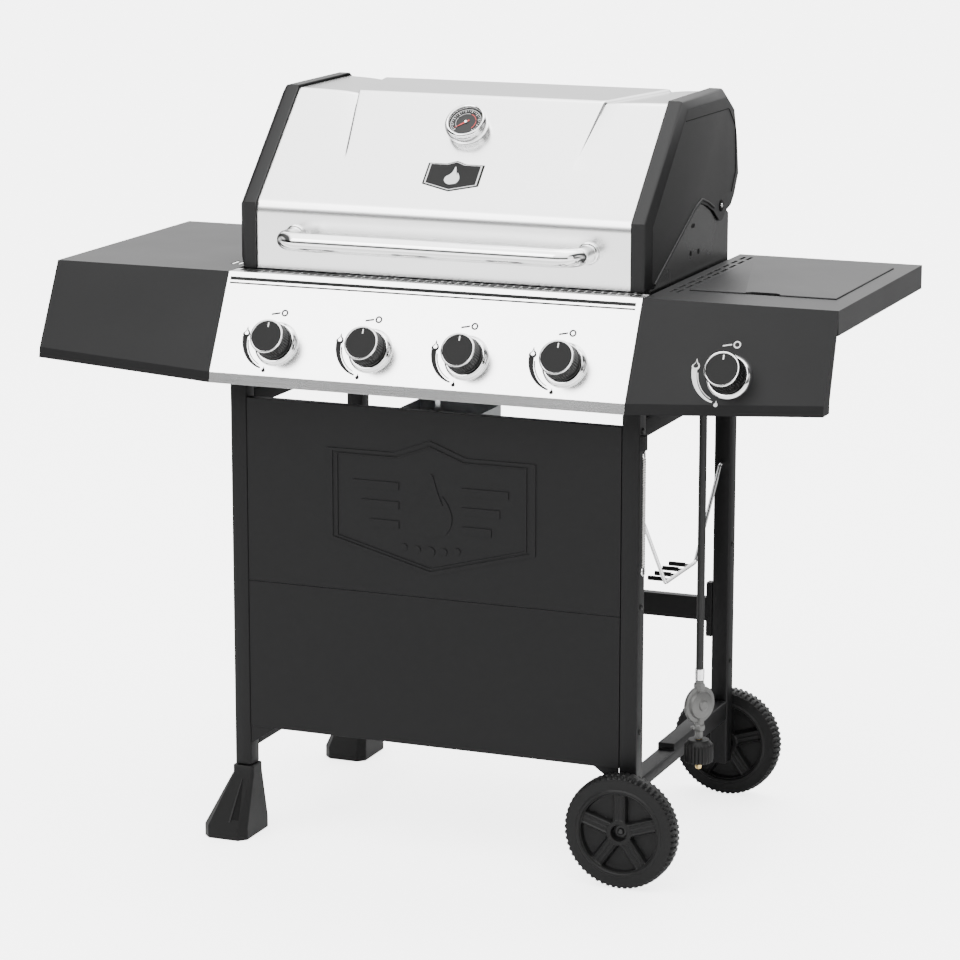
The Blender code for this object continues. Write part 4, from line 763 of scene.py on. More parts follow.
def make_gauge():
    """The hood's thermometer: a turned chrome case, a dark dial with its scale, and a red needle."""
    foot = slope_point(0.0, GAUGE_UP, 0.0004)
    case = [(0.0262, 0.0), (0.0300, 0.0), (0.0318, 0.0020), (0.0335, 0.0095), (GAUGE_R, 0.0150),
            (0.0328, 0.0190), (0.0308, 0.0220), (0.0288, 0.0229), (0.0272, 0.0222), (0.0266, 0.0200),
            (0.0262, 0.0165)]
    ring = turned("gauge_case", case, foot, SLOPE_OUT, POLISHED, 96)
    keep(ring, "lid", "chrome_wire", "thermometer")
    dial = turned("gauge_dial", [(0.0, 0.0150), (0.0, 0.0166), (0.0263, 0.0166), (0.0263, 0.0150)], foot,
                  SLOPE_OUT, DIAL, 72)
    keep(dial, "lid", "chrome_wire")

    def on_dial(name, outlines, lift, mat):
        """Flat shapes of one finish, lifted off the dial."""
        face = foot + SLOPE_OUT * lift
        flat = [plate(f"{name}_{i}", o, face, X_AXIS, SLOPE_UP, 0.0003, mat) for i, o in enumerate(outlines)]
        keep(united(name, flat), "lid", "chrome_wire")

    def tick(angle, r_in, r_out, half):
        """A scale mark between two radii, its angle clockwise from the top."""
        side = np.array(((r_in, -half), (r_out, -half), (r_out, half), (r_in, half)))
        a = math.radians(90 - angle)
        return side @ np.array(((math.cos(a), math.sin(a)), (-math.sin(a), math.cos(a))))

    angles = np.linspace(-135, 135, 28)
    ticks = [tick(a, 0.0205 if i % 3 else 0.0190, 0.0228, 0.00022 if i % 3 else 0.0004)
             for i, a in enumerate(angles)]
    on_dial("gauge_ticks", ticks, 0.0167, WHITE_INK)
    rim = band_plate("gauge_ring", circle(0.0244, 72), circle(0.0237, 72), foot + SLOPE_OUT * 0.0167, X_AXIS,
                     SLOPE_UP, 0.0003, SILVER_INK)
    keep(rim, "lid", "chrome_wire")
    on_dial("gauge_zones", [arc_band(0.0156, 0.0164, 20, 75), arc_band(0.0156, 0.0164, 84, 132)], 0.0167,
            RED)
    on_dial("gauge_warm_zones", [arc_band(0.0158, 0.0163, -132, -62), arc_band(0.0158, 0.0163, -54, 12)],
            0.0167, SILVER_INK)
    needle = np.array(((-0.0060, -0.0012), (0.0, -0.0014), (0.0190, -0.0002), (0.0190, 0.0002),
                       (0.0, 0.0014), (-0.0060, 0.0012)))
    a = math.radians(218)
    turn = np.array(((math.cos(a), math.sin(a)), (-math.sin(a), math.cos(a))))
    on_dial("gauge_needle", [needle @ turn], 0.0172, RED)
    hub = turned("gauge_hub", [(0.0, 0.0172), (0.0, 0.0192), (0.0018, 0.0190), (0.0026, 0.0182),
                               (0.0026, 0.0172)],
                 foot, SLOPE_OUT, POLISHED, 32)
    keep(hub, "lid", "chrome_wire")


def shield(half_width, half_height, corner):
    """A six-sided badge outline with its top and bottom drawn to a blunt point."""
    w, h, c = half_width, half_height, corner
    return np.array(((-w, -h + c), (0.0, -h), (w, -h + c), (w, h - c * 0.5), (0.35 * w, h - c * 0.5),
                     (0.0, h), (-0.35 * w, h - c * 0.5), (-w, h - c * 0.5)))


def flame(size):
    """A flame outline of the size given: a round belly drawn up to a leaning tip, with a smaller tongue."""
    side = [(0.00, -0.50), (0.26, -0.42), (0.36, -0.20), (0.30, 0.02), (0.20, 0.16), (0.21, 0.02),
            (0.12, 0.22), (0.02, 0.50), (-0.05, 0.20), (-0.16, 0.04), (-0.30, -0.08), (-0.34, -0.26),
            (-0.22, -0.43)]
    closed = np.array(side + side[:2])
    return smooth_route(closed, 4)[:-5] * size


BADGE_UP = 0.072
BADGE_THICK = 0.0004


def make_badge():
    """A plain six-sided badge on the front slope: black, a bright line, black again and a bright flame."""
    outlines = [(f"badge_{i}", shield(0.046, 0.029, 0.012) * scale, 0.0003 + BADGE_THICK * i, mat)
                for i, (scale, mat) in enumerate(((1.0, PRINT_AND_SHADE_BLACK), (0.93, SILVER_INK), (0.88, PRINT_AND_SHADE_BLACK)))]
    for name, outline, lift, mat in outlines + [("badge_flame", flame(0.034), 0.0016, SILVER_INK)]:
        face = slope_point(0.0, BADGE_UP, lift)
        keep(plate(name, outline, face, X_AXIS, SLOPE_UP, BADGE_THICK, mat), "lid", "painted_frame")


CAP_ROLL = [(0.306, 0.0000), (0.3235, 0.0000), (0.3262, 0.0007), (0.3285, 0.0026), (0.3345, 0.0108),
            (0.3356, 0.0122), (0.3360, 0.0140)]
CAP_LINING = [(0.306, 0.0015), (0.3228, 0.0015), (0.3250, 0.0022), (0.3270, 0.0040), (0.3325, 0.0115),
              (0.3336, 0.0128), (0.3342, 0.0142)]
CAP_WALL = 0.0016


def cap_outline():
    """The end cap's outline as (y, z), from the outer face of the CAD cap, front bottom corner first."""
    bm = cad_copy("right_lid_cap", flatten=False)
    face_x = max(v.co.x for v in bm.verts)
    face = {f for f in bm.faces if all(abs(v.co.x - face_x) < 1e-5 for v in f.verts)}
    edges = [e for e in bm.edges if sum(f in face for f in e.link_faces) == 1]
    following = {}
    for e in edges:
        for a, b in (e.verts, reversed(e.verts)):
            following.setdefault(a, []).append(b)
    start = min(following, key=lambda v: v.co.y + v.co.z)
    ring, before, here = [start], None, start
    while True:
        ahead = next(v for v in following[here]
                     if v is not before and (len(ring) > 1 or v.co.z > here.co.z + 0.01))
        if ahead is start:
            break
        ring.append(ahead)
        before, here = here, ahead
    points = np.array([(v.co.y, v.co.z) for v in ring])
    bm.free()
    return points


def cap_section(outline, folded, section):
    """Rows of points (x, y, z): the outline moved inwards by each inset, at each x, where it is folded."""
    ahead = np.roll(outline, -1, 0) - outline
    ahead /= np.linalg.norm(ahead, axis=1)[:, None]
    behind = np.roll(ahead, 1, 0)
    inward = np.stack([ahead[:, 1] + behind[:, 1], -ahead[:, 0] - behind[:, 0]], -1)
    inward /= (1 + (ahead * behind).sum(1))[:, None].clip(0.35)
    x_end, inset_end = section[-1]
    rows = []
    for x, inset in section:
        flat_x = x_end - CAP_WALL * (x_end - x) / (x_end - section[0][0])
        x_here = np.where(folded > 0, x_end + (x - x_end) * folded, flat_x)
        yz = outline + inward * ((inset * folded) + 0.0002 * (inset / inset_end))[:, None]
        rows.append(np.concatenate([x_here[:, None], yz], -1))
    return np.array(rows)


def on_cap(line, radius, x):
    """A (y, z) line with rounded corners as points on the cap's flat face at x."""
    path = resampled(rounded(line, radius, 5), 0.006)
    return np.concatenate([np.full((len(path), 1), x), path], -1)


def make_caps():
    """The two enamelled end caps: a rolled, chamfered band round the hood's line and a flat side plate."""
    outline = cap_outline()
    line = shifted(HOOD_LINE[:-1])
    near = np.array([np.linalg.norm(line - p, axis=1).min() for p in outline])
    folded = np.where(near < 0.006, 1.0, 0.0)
    outer = cap_section(outline, folded, CAP_ROLL)
    inner = cap_section(outline, folded, CAP_LINING)
    inner[0, :, 0] = outer[0, :, 0]
    for side, sx in (("left", -1.0), ("right", 1.0)):
        rows, cols = outer.shape[:2]
        count = rows * cols
        points = np.concatenate([outer.reshape(-1, 3), inner.reshape(-1, 3)]) * (sx, 1.0, 1.0)
        quads = grid_faces(rows, cols, wrap_cols=True)
        j = np.arange(cols)
        rim = np.stack([j, (j + 1) % cols, (j + 1) % cols + count, j + count], -1)
        faces = [list(f) for f in np.concatenate([quads, quads[:, ::-1] + count, rim])]
        last = (rows - 1) * cols
        faces += [list(range(last, last + cols)), list(range(count + last, count + last + cols))[::-1]]
        cap = link(f"{side}_hood_end", mesh_of(f"{side}_hood_end", points, faces), CAP_PAINT, 28.0)
        keep(cap, "lid", "painted_frame", f"{side}_lid_cap")
        plate_x = CAP_ROLL[-1][0] * sx
        emboss = shifted([(-0.038, 1.140), (0.168, 1.138), (0.203, 1.107), (0.208, 1.038), (0.186, 1.006)])
        # A thin black tube along the groove near the plate's rear edge: painted shade in the groove.
        groove_shade = carried(f"{side}_cap_groove_shade", on_cap(emboss, 0.010, plate_x), 0.0009, SHADE_PAINT, sides=8)
        keep(groove_shade, "lid", "painted_frame")
        edge = shifted([(0.100, 0.9920), (0.070, 1.0040), (0.041, 1.0120), (0.013, 1.0040),
                        (-0.176, 0.9120)])
        hem = carried(f"{side}_cap_hem", on_cap(edge, 0.012, plate_x), 0.0022, CAP_PAINT, sides=10)
        keep(hem, "lid", "painted_frame")
        pivot = (plate_x - sx * 0.0006, 0.136 + CART_SHIFT, 0.990)
        # A black ring of painted shade round the pivot pin, where the hole behind it shows.
        pivot_shade = turned(f"{side}_pivot_shade_ring", [(0.0048, 0.0), (0.0092, 0.0), (0.0092, 0.0016),
                                               (0.0078, 0.0022), (0.0048, 0.0022)], pivot, (sx, 0, 0),
                        SHADE_PAINT, 40)
        keep(pivot_shade, "lid", "painted_frame")
        pin = turned(f"{side}_pivot_pin", [(0.0, 0.0004), (0.0, 0.0032), (0.0028, 0.0028), (0.0042, 0.0014),
                                           (0.0046, 0.0004)], pivot, (sx, 0, 0), POLISHED, 32)
        keep(pin, "cart", "chrome_wire")


make_hood_skin()
make_handle()
make_gauge()
make_badge()
make_caps()


# ---------------------------------------------------------------- control panel
KNOB_XS = (-0.234, -0.078, 0.078, 0.234, 0.488)
KNOB_Y = -0.28028 + CART_SHIFT
KNOB_Z = 0.802
PANEL_UP = np.array((0.0, 0.45825, 0.88882))
PANEL_OUT = np.array((0.0, -0.88882, 0.45825))
PANEL_TOP = np.array((0.0, -0.2295 + CART_SHIFT, 0.9005))
KNOB_RIBS = 44
RIB_STEPS = 6                # points across a rib
# Thickness of the printed marks and of the flat plates of painted shade.
MARK_RISE = 0.0003
LIP_VENT_Y = -0.2065 + CART_SHIFT


def ribbed(name, profile, ribs, depth, centre, axis, mat):
    """A turned shape whose radius dips by depth cos^2(ribs t / 2) where the profile's third number is 1."""
    profile = np.asarray(profile, float)
    axis = np.asarray(axis, float)
    u, v = axes_on(axis)
    t = np.linspace(0, 2 * math.pi, ribs * RIB_STEPS, endpoint=False)
    radius = profile[:, :1] - depth * profile[:, 2:3] * np.cos(ribs * t / 2) ** 2
    around = np.cos(t)[:, None] * u + np.sin(t)[:, None] * v
    points = np.asarray(centre, float) + profile[:, 1, None, None] * axis + radius[:, :, None] * around[None]
    mesh = mesh_of(name, points, grid_faces(len(profile), len(t), wrap_cols=True))
    return link(name, drop_slivers(mesh), mat, 40.0)


def make_knob(number, x):
    """One burner knob: ribbed black body, chrome ring and dark face with its mark, over a coned bezel."""
    centre = np.array((x, KNOB_Y, KNOB_Z))
    body = [(0.0, 0.0110, 0), (0.0272, 0.0110, 0), (0.0285, 0.0116, 0), (0.0286, 0.0140, 0),
            (0.0283, 0.0152, 0), (0.0279, 0.0160, 1), (0.0277, 0.0230, 1), (0.0274, 0.0310, 1),
            (0.0271, 0.0380, 1), (0.0270, 0.0395, 0), (0.0260, 0.0405, 0), (0.0238, 0.0407, 0),
            (0.0232, 0.0400, 0), (0.0, 0.0400, 0)]
    knob = ribbed(f"knob_{number}_body", body, KNOB_RIBS, 0.0010, centre, PANEL_OUT, KNOB_BLACK)
    keep(knob, f"knob_{number}", "moulded_plastic", f"knob_{number}")
    trim = [(0.0234, 0.0401), (0.0241, 0.0414), (0.0250, 0.0420), (0.0260, 0.0417), (0.0268, 0.0404),
            (0.0268, 0.0390), (0.0234, 0.0390)]
    ring = turned(f"knob_{number}_ring", trim, centre, PANEL_OUT, POLISHED, 72)
    keep(ring, f"knob_{number}", "chrome_wire")
    tick = np.array(((-0.0009, 0.0145), (0.0009, 0.0145), (0.0009, 0.0215), (-0.0009, 0.0215)))
    mark = plate(f"knob_{number}_mark", tick, centre + PANEL_OUT * 0.0401, X_AXIS, PANEL_UP, MARK_RISE,
                 WHITE_INK)
    keep(mark, f"knob_{number}", "moulded_plastic")
    cone = [(0.0290, 0.0002), (0.0345, 0.0002), (0.0350, 0.0010), (0.0348, 0.0026), (0.0335, 0.0052),
            (0.0317, 0.0078), (0.0304, 0.0090), (0.0295, 0.0091), (0.0290, 0.0084)]
    bezel = turned(f"bezel_{number}", cone, centre, PANEL_OUT, POLISHED, 96)
    keep(bezel, "cart", "chrome_wire")


def spiral_band(start, end, outer, inner):
    """The outline of a curved wedge about a centre: each edge's radius runs evenly between its two ends."""
    t = np.linspace(0.0, 1.0, 20)
    a = np.radians(start + (end - start) * t)
    around = np.stack([np.cos(a), np.sin(a)], -1)
    far = around * (outer[0] + (outer[1] - outer[0]) * t)[:, None]
    near = around * (inner[0] + (inner[1] - inner[0]) * t)[:, None]
    return np.concatenate([far, near[::-1]])


def make_marks(number, x, mat, weight):
    """The printed marks round one knob: off ring and dash, wedge and line, flame and drop."""
    centre = np.array((x, KNOB_Y, KNOB_Z)) + PANEL_OUT * 0.0001
    thick = 0.0013 * weight
    dash = np.array(((-0.0172, 0.0467 - thick), (-0.0036, 0.0495 - thick), (-0.0036, 0.0495 + thick),
                     (-0.0172, 0.0467 + thick)))
    wedge = spiral_band(171.0, 243.0, (0.0590, 0.0452), (0.0504, 0.0428))
    line = spiral_band(176.0, 236.0, (0.0490, 0.0414), (0.0490 - 0.0018 * weight, 0.0414 - 0.0012 * weight))
    drop = flame(0.0095) * (0.9, 1.0) + (-0.0139, -0.0412)
    shapes = [plate(f"mark_{number}_{i}", o, centre, X_AXIS, PANEL_UP, MARK_RISE, mat)
              for i, o in enumerate((dash, wedge, line, drop))]
    hollow = 1 - 0.46 * weight
    rings = (circle(0.0056, 32), (0.0042, 0.0498)), (flame(0.0170), (-0.0530, 0.0160))
    for i, (outer, place) in enumerate(rings):
        shapes.append(band_plate(f"mark_ring_{number}_{i}", outer + place, outer * hollow + place, centre,
                                 X_AXIS, PANEL_UP, MARK_RISE, mat))
    keep(united(f"burner_{number}_marks", shapes), "cart", "painted_frame")


def make_panel_stripes():
    """A thick and a thin black line under the panel's top edge."""
    for name, down, half in (("thick", 0.0107, 0.0026), ("thin", 0.0180, 0.0012)):
        origin = PANEL_TOP - PANEL_UP * down + PANEL_OUT * 0.0001
        outline = np.array(((-0.332, -half), (0.328, -half), (0.328, half), (-0.332, half)))
        stripe = plate(f"{name}_stripe", outline, origin, X_AXIS, PANEL_UP, MARK_RISE, PRINT_AND_SHADE_BLACK)
        keep(stripe, "cart", "painted_frame")


def make_lip_vents():
    """The row of vent slots along the panel's flat lip, under the hood's front edge, drawn as flat black
    plates: painted shade in the slots.
    """
    slot = np.array(((-0.0047, -0.0065), (0.0047, -0.0065), (0.0047, 0.0065), (-0.0047, 0.0065)))
    middles = np.linspace(-0.322, 0.322, 51)
    origin = np.array((0.0, LIP_VENT_Y, PANEL_TOP[2] + 0.0001))
    slots = [plate(f"lip_vent_{i}", slot + (x, 0.0), origin, X_AXIS, (0.0, 1.0, 0.0), MARK_RISE, PRINT_AND_SHADE_BLACK)
             for i, x in enumerate(middles)]
    keep(united("lip_vents", slots), "cart", "painted_frame")


for index, knob_x in enumerate(KNOB_XS, start=1):
    make_knob(index, knob_x)
    on_steel = index < len(KNOB_XS)
    make_marks(index, knob_x, PRINT_AND_SHADE_BLACK if on_steel else SILVER_INK, 1.0 if on_steel else 0.75)
make_panel_stripes()
make_lip_vents()


# ---------------------------------------------------------------- wheels and feet
AXLE_PLACE = (0.322, 0.089)
WHEEL_HALF = 0.019
GROOVE_DEPTH = 0.0026
DISH_R = 0.0622
SPOKES = 5
LUGS = 60
COLUMNS = LUGS * 6
RIM_LINE = [(0.0626, 0.0168), (0.0634, 0.0182), (0.0646, 0.0188), (0.0662, 0.0188), (0.0674, 0.0180),
            (0.0686, 0.0168), (0.0720, 0.0164), (0.0800, 0.0170)]
TREAD_LINE = [(0.0840, 0.0166), (0.0858, 0.0156), (0.0876, 0.0134), (0.0887, 0.0106), (0.0890, 0.0080),
              (0.0890, 0.0046), (0.0890, 0.0036), (0.0890, -0.0036), (0.0890, -0.0046), (0.0890, -0.0080),
              (0.0887, -0.0106), (0.0876, -0.0134), (0.0858, -0.0160), (0.0840, -0.0176)]
BACK_STEP = 0.0016           # how much closer to the middle the inner face's spokes lie


def eased(value, low, high):
    """0 below low, 1 above high, and 3 t^2 - 2 t^3 between them."""
    t = np.clip((value - low) / (high - low), 0.0, 1.0)
    return t * t * (3 - 2 * t)


def dish_height(r, angle):
    """Height of the wheel's face inside the rim: floor, five double-ridged spokes, hub and bolt recess."""
    sector = 2 * math.pi / SPOKES
    off = (angle + sector / 2) % sector - sector / 2
    aside = np.abs(r * np.sin(off))
    spoke = 1 - eased(aside, 0.0098, 0.0118)
    ridge = np.exp(-((aside - 0.0078) / 0.0013) ** 2) + 0.45 * np.exp(-(aside / 0.0011) ** 2)
    floor = 0.0052 + 0.0016 * eased(r, 0.050, 0.0615)
    height = floor + spoke * (0.0136 - floor + 0.0020 * ridge)
    collar = 1 - eased(r, 0.0190, 0.0212)
    height = height * (1 - collar) + 0.0152 * collar
    wall = eased(r, 0.0592, 0.0612)
    height = height * (1 - wall) + 0.0160 * wall
    well = 1 - eased(r, 0.0118, 0.0130)
    return height * (1 - well) + 0.0040 * well


def make_wheel(name, inner_y, outward):
    """A moulded wheel: the dish's height over (r, angle), a rim ring, and a tread cut by lug grooves.

    A groove lies in the middle of each lug's pitch, half a pitch further on across the tread's middle.
    """
    x, z = AXLE_PLACE
    angle = np.linspace(0.0, 2 * math.pi, COLUMNS, endpoint=False)
    dish_r = np.unique(np.concatenate([np.linspace(0.0, 0.0105, 4), np.linspace(0.0112, 0.0135, 6),
                                       np.linspace(0.0150, 0.0220, 9), np.linspace(0.0240, 0.0580, 22),
                                       np.linspace(0.0588, DISH_R, 7)]))
    rows = [(np.full(COLUMNS, r), dish_height(r, angle)) for r in dish_r]
    phase = (angle * LUGS / (2 * math.pi)) % 1.0
    groove = {1: eased(phase, 0.25, 0.38) - eased(phase, 0.62, 0.75)}
    other = (phase + 0.5) % 1.0
    groove[-1] = eased(other, 0.25, 0.38) - eased(other, 0.62, 0.75)
    for r, h in RIM_LINE:
        rows.append((np.full(COLUMNS, r), np.full(COLUMNS, h)))
    for r, h in TREAD_LINE:
        cut = groove[1 if h > 0 else -1] * (abs(h) > 0.0040) * (r > 0.0850)
        rows.append((r - GROOVE_DEPTH * cut, np.full(COLUMNS, h) - np.sign(h) * 0.0012 * cut * (r < 0.0885)))
    for r, h in RIM_LINE[::-1]:
        rows.append((np.full(COLUMNS, r), np.full(COLUMNS, -h)))
    rows += [(np.full(COLUMNS, r), BACK_STEP - dish_height(r, angle)) for r in dish_r[::-1]]
    radius = np.array([row[0] for row in rows])
    height = np.array([row[1] for row in rows])
    middle = inner_y + outward * WHEEL_HALF + CART_SHIFT
    points = np.stack([x + radius * np.sin(angle) * -outward, middle + outward * height,
                       z + radius * np.cos(angle)], -1)
    mesh = mesh_of(f"{name}_moulding", points, grid_faces(len(rows), COLUMNS, wrap_cols=True))
    wheel = link(f"{name}_moulding", drop_slivers(mesh), PLASTIC, 38.0)
    keep(wheel, name, "moulded_plastic", name)
    face = middle + outward * 0.0040
    bolt = turned(f"{name}_bolt_head", [(0.0, -0.0006), (0.0, 0.0046), (0.0026, 0.0044), (0.0048, 0.0032),
                                        (0.0058, 0.0012), (0.0058, 0.0004), (0.0086, 0.0004),
                                        (0.0086, -0.0006)],
                  (x, face + outward * 0.0007, z), (0, outward, 0), DARK_ZINC, 40)
    keep(bolt, "cart", "zinc_bolt", "front_axle_bolt" if outward < 0 else "rear_axle_bolt")


def foot_face(name, outward):
    """The corners and the normal of a foot's widest face towards the front or the back."""
    bm = cad_copy(name)
    face = max((f for f in bm.faces if f.normal.y * outward > 0.6), key=lambda f: f.calc_area())
    corners = np.array([tuple(v.co) for v in face.verts])
    normal = np.array(face.normal)
    bm.free()
    return corners, normal


def make_foot_pockets():
    """A triangle of painted shade for the sunk pocket, and a raised web, on each foot's sloping outer face.
    """
    for name, outward in (("front_left_foot", -1.0), ("rear_left_foot", 1.0)):
        corners, normal = foot_face(name, outward)
        across = np.array((-outward, 0.0, 0.0))
        up = np.cross(normal, across)
        middle = corners.mean(0) + normal * 0.0001
        low = ((corners - middle) @ up).min()
        high = ((corners - middle) @ up).max()
        pocket = np.array(((0.004, low + 0.014), (0.017, low + 0.014), (0.0115, high - 0.016)))
        web = np.array(((0.0005, low + 0.010), (0.0035, low + 0.010), (0.0105, high - 0.010),
                        (0.0088, high - 0.010)))
        # Painted shade: a flat black triangle where the pocket is sunk.
        dark = plate(f"{name}_pocket", pocket, middle, across, up, 0.0002, SHADE_PAINT)
        keep(dark, "cart", "moulded_plastic")
        rib = plate(f"{name}_web", web, middle, across, up, 0.0014, PLASTIC)
        keep(rib, "cart", "moulded_plastic")


# ---------------------------------------------------------------- front panels
PANEL_FACE_Y = -0.235 + CART_SHIFT
CREST_Z = 0.556
CREST_RISE = 0.0016
Z_AXIS = np.array((0.0, 0.0, 1.0))


def make_crest():
    """The raised crest on the upper panel: two six-sided lines, bars at each side, a flame, five studs."""
    origin = np.array((0.0, PANEL_FACE_Y + 0.0002, CREST_Z))
    big = shield(0.172, 0.105, 0.045)
    pieces = [band_plate("crest_line", big, big * 0.945, origin, X_AXIS, Z_AXIS, CREST_RISE, PAINT),
              band_plate("crest_inner_line", big * 0.915, big * 0.895, origin, X_AXIS, Z_AXIS, CREST_RISE,
                         PAINT),
              plate("crest_flame", flame(0.100) + (0.0, 0.004), origin, X_AXIS, Z_AXIS, CREST_RISE, PAINT)]
    for sx in (-1, 1):
        for k in range(3):
            bar = np.array(((0.052, -0.006), (0.128 - 0.014 * k, -0.006), (0.128 - 0.014 * k, 0.006),
                            (0.052, 0.006)))
            bar = bar * (sx, 1) + (0.0, 0.030 - 0.030 * k)
            bar = bar if sx > 0 else bar[::-1]
            pieces.append(plate(f"crest_bar_{sx}_{k}", bar, origin, X_AXIS, Z_AXIS, CREST_RISE, PAINT))
    for k in (-2, -1, 0, 1, 2):
        stud = circle(0.0055 if k else 0.0075, 24, (0.022 * k, -0.068 + 0.002 * abs(k)))
        pieces.append(plate(f"crest_stud_{k}", stud, origin, X_AXIS, Z_AXIS, CREST_RISE, PAINT))
    for piece in pieces:
        keep(piece, "cart", "painted_frame")


SCREW_R = 0.0045
LEG_SCREW_X = 0.3362
LEG_SCREW_ZS = (0.835, 0.700, 0.430, 0.235)


def make_screw(name, place, axis):
    """A pan-head screw on the cart, standing on a face, with its cross recess drawn as two black plates of
    painted shade.
    """
    r = SCREW_R
    head = turned(name, [(0.0, 0.0), (r, 0.0), (r, r * 0.22), (r * 0.78, r * 0.5), (r * 0.4, r * 0.62),
                         (0.0, r * 0.64)], place, axis, DARK_ZINC, 28)
    keep(head, "cart", "zinc_bolt")
    u, v = axes_on(axis)
    arm, half = r * 0.55, r * 0.11
    bar = np.array(((-arm, -half), (arm, -half), (arm, half), (-arm, half)))
    top = np.asarray(place, float) + np.asarray(axis, float) * r * 0.60
    # The cross recess: black plates of painted shade on the head's top.
    slots = [plate(f"{name}_slot_{k}", shape, top, -u, v, 0.0003, PRINT_AND_SHADE_BLACK)
             for k, shape in enumerate((bar, bar[:, ::-1][::-1]))]
    keep(united(f"{name}_recess", slots), "cart", "zinc_bolt")


def make_screws():
    """Four screws down the outer side of each leg."""
    for z in LEG_SCREW_ZS:
        for end, y in (("front", -0.220), ("rear", 0.221)):
            for side, sx in (("right", 1), ("left", -1)):
                make_screw(f"{side}_{end}_leg_screw_{int(z * 1000)}", (sx * LEG_SCREW_X, y + CART_SHIFT, z),
                           (sx, 0, 0))


# ---------------------------------------------------------------- wire fittings
ROD_PLACE = (0.341, -0.227 + CART_SHIFT)
ROD_TOP_Z = 0.664
ROD_BOTTOM_Z = 0.485
ROD_TWIST_R = 0.0015
ROD_WIRE_R = 0.0014


def make_lighting_rod():
    """The lighting rod: two wires twisted about each other, and a ring at each end.

    Each wire runs at (x + r cos(k z + p), y + r sin(k z + p), z), the second with p half a turn on.
    """
    x, y = ROD_PLACE
    z = np.linspace(ROD_BOTTOM_Z + 0.009, ROD_TOP_Z - 0.004, 420)
    turns = 2 * math.pi * (z - z[0]) / 0.0078
    for wire, phase in (("first", 0.0), ("second", math.pi)):
        path = np.stack([x + ROD_TWIST_R * np.cos(turns + phase), y + ROD_TWIST_R * np.sin(turns + phase),
                         z], -1)
        strand = carried(f"rod_{wire}_wire", path, ROD_WIRE_R, PLAIN_STEEL, sides=8)
        keep(strand, "lighting_rod", "chrome_wire", *(["lighting_rod"] if wire == "first" else []))
    t = np.linspace(0.0, 2 * math.pi, 40, endpoint=False)
    for end, centre_z, r in (("foot", ROD_BOTTOM_Z + 0.0022, 0.0068), ("top", ROD_TOP_Z + 0.0005, 0.0046)):
        path = np.stack([np.full_like(t, x), y + r * np.sin(t), centre_z + r * np.cos(t)], -1)
        loop = carried(f"rod_{end}_ring", path, 0.0011, POLISHED, sides=10, closed=True)
        keep(loop, "lighting_rod", "chrome_wire")


def make_prong_tips():
    """Dark plastic sleeves on the tank wire's four prongs."""
    end_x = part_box("tank_wire")[0][0]
    for y in (-0.050, -0.018, 0.018, 0.050):
        path = np.array([(end_x - 0.0004, y + CART_SHIFT, 0.432), (end_x + 0.026, y + CART_SHIFT, 0.432)])
        path = resampled(path, 0.004)
        tip = carried(f"wire_tip_{int((y + 0.1) * 1000)}", path, 0.0036, PLASTIC, sides=16)
        keep(tip, "tank_wire", "moulded_plastic")


EAR_FACE_X = 0.3330
EAR_HOLES = ((0.000, 0.934), (0.037, 0.932))
EAR_SLOT = (0.010, 0.975)


def make_ear_holes():
    """The holes and the slot in the firebox's two upright end plates, drawn as flat black plates of painted
    shade.
    """
    slot = rounded([(0.0, -0.003), (0.0075, -0.003), (0.0075, 0.003), (-0.0075, 0.003), (-0.0075, -0.003),
                    (0.0, -0.003)], 0.0028)[:-1]
    shapes = [(circle(0.0042, 24), place) for place in EAR_HOLES] + [(slot, EAR_SLOT)]
    for side, sx in (("left", -1.0), ("right", 1.0)):
        # Flat black plates of painted shade where the holes and the slot are.
        hole_shades = [plate(f"{side}_ear_hole_{i}", outline, (sx * EAR_FACE_X, y + CART_SHIFT, z), (0.0, sx, 0.0),
                       Z_AXIS, MARK_RISE, SHADE_PAINT)
                 for i, (outline, (y, z)) in enumerate(shapes)]
        keep(united(f"{side}_ear_holes", hole_shades), "cart", "painted_frame")


make_wheel("front_wheel", -0.238, -1.0)
make_wheel("rear_wheel", 0.239, 1.0)
make_foot_pockets()
make_crest()
make_screws()
make_lighting_rod()
make_prong_tips()
make_ear_holes()


# ---------------------------------------------------------------- floor and light
FLOOR_HALF = 40.0
FLOOR_TONE = 0.88
FLOOR_LOSS = 0.72            # the most that the floor's tone drops where the steel sees it
FLOOR_FAR = (-1.6, -6.6)     # slope and level of each ramp over y
FLOOR_AHEAD = (-1.0, -2.9)
FLOOR_BEHIND = (2.0, -0.4)
FLOOR_NEAR_Y = -1.5          # middle of the darker stretch near the cart
FAR_SHARE = 0.45
NEAR_SHARE = 0.5
SIDE_FLAG = (0.55, 0.97)     # how far to either side the black flags begin and end
FLOOR_GLINT = 1.2            # what the steel sees of the floor well in front
FLOOR_GLOW = 3.2             # what the camera sees added to the lit floor, so that it stays pale
FLAG_DEPTH = 0.97            # how much of the sky's light a flag takes away
SKY_SEEN = 5.0               # the least that the camera itself sees of the sky
SKY_BANDS = [(0.40, 2.2), (0.49, 0.06), (0.60, 0.08), (0.66, 1.0), (0.71, 3.6), (0.76, 3.0), (0.82, 4.4),
             (1.00, 4.8)]
BACK_SKY = 1.3               # the least light from behind, near the horizon


def camera_ray(tree):
    """1 where the camera looks straight at the surface."""
    return tree.nodes.new("ShaderNodeLightPath").outputs["Is Camera Ray"]


def ramp(tree, value, slope, level):
    """slope times a value plus a level, held between 0 and 1."""
    return math_node(tree, "ADD", math_node(tree, "MULTIPLY", value, slope), level, clamp=True)


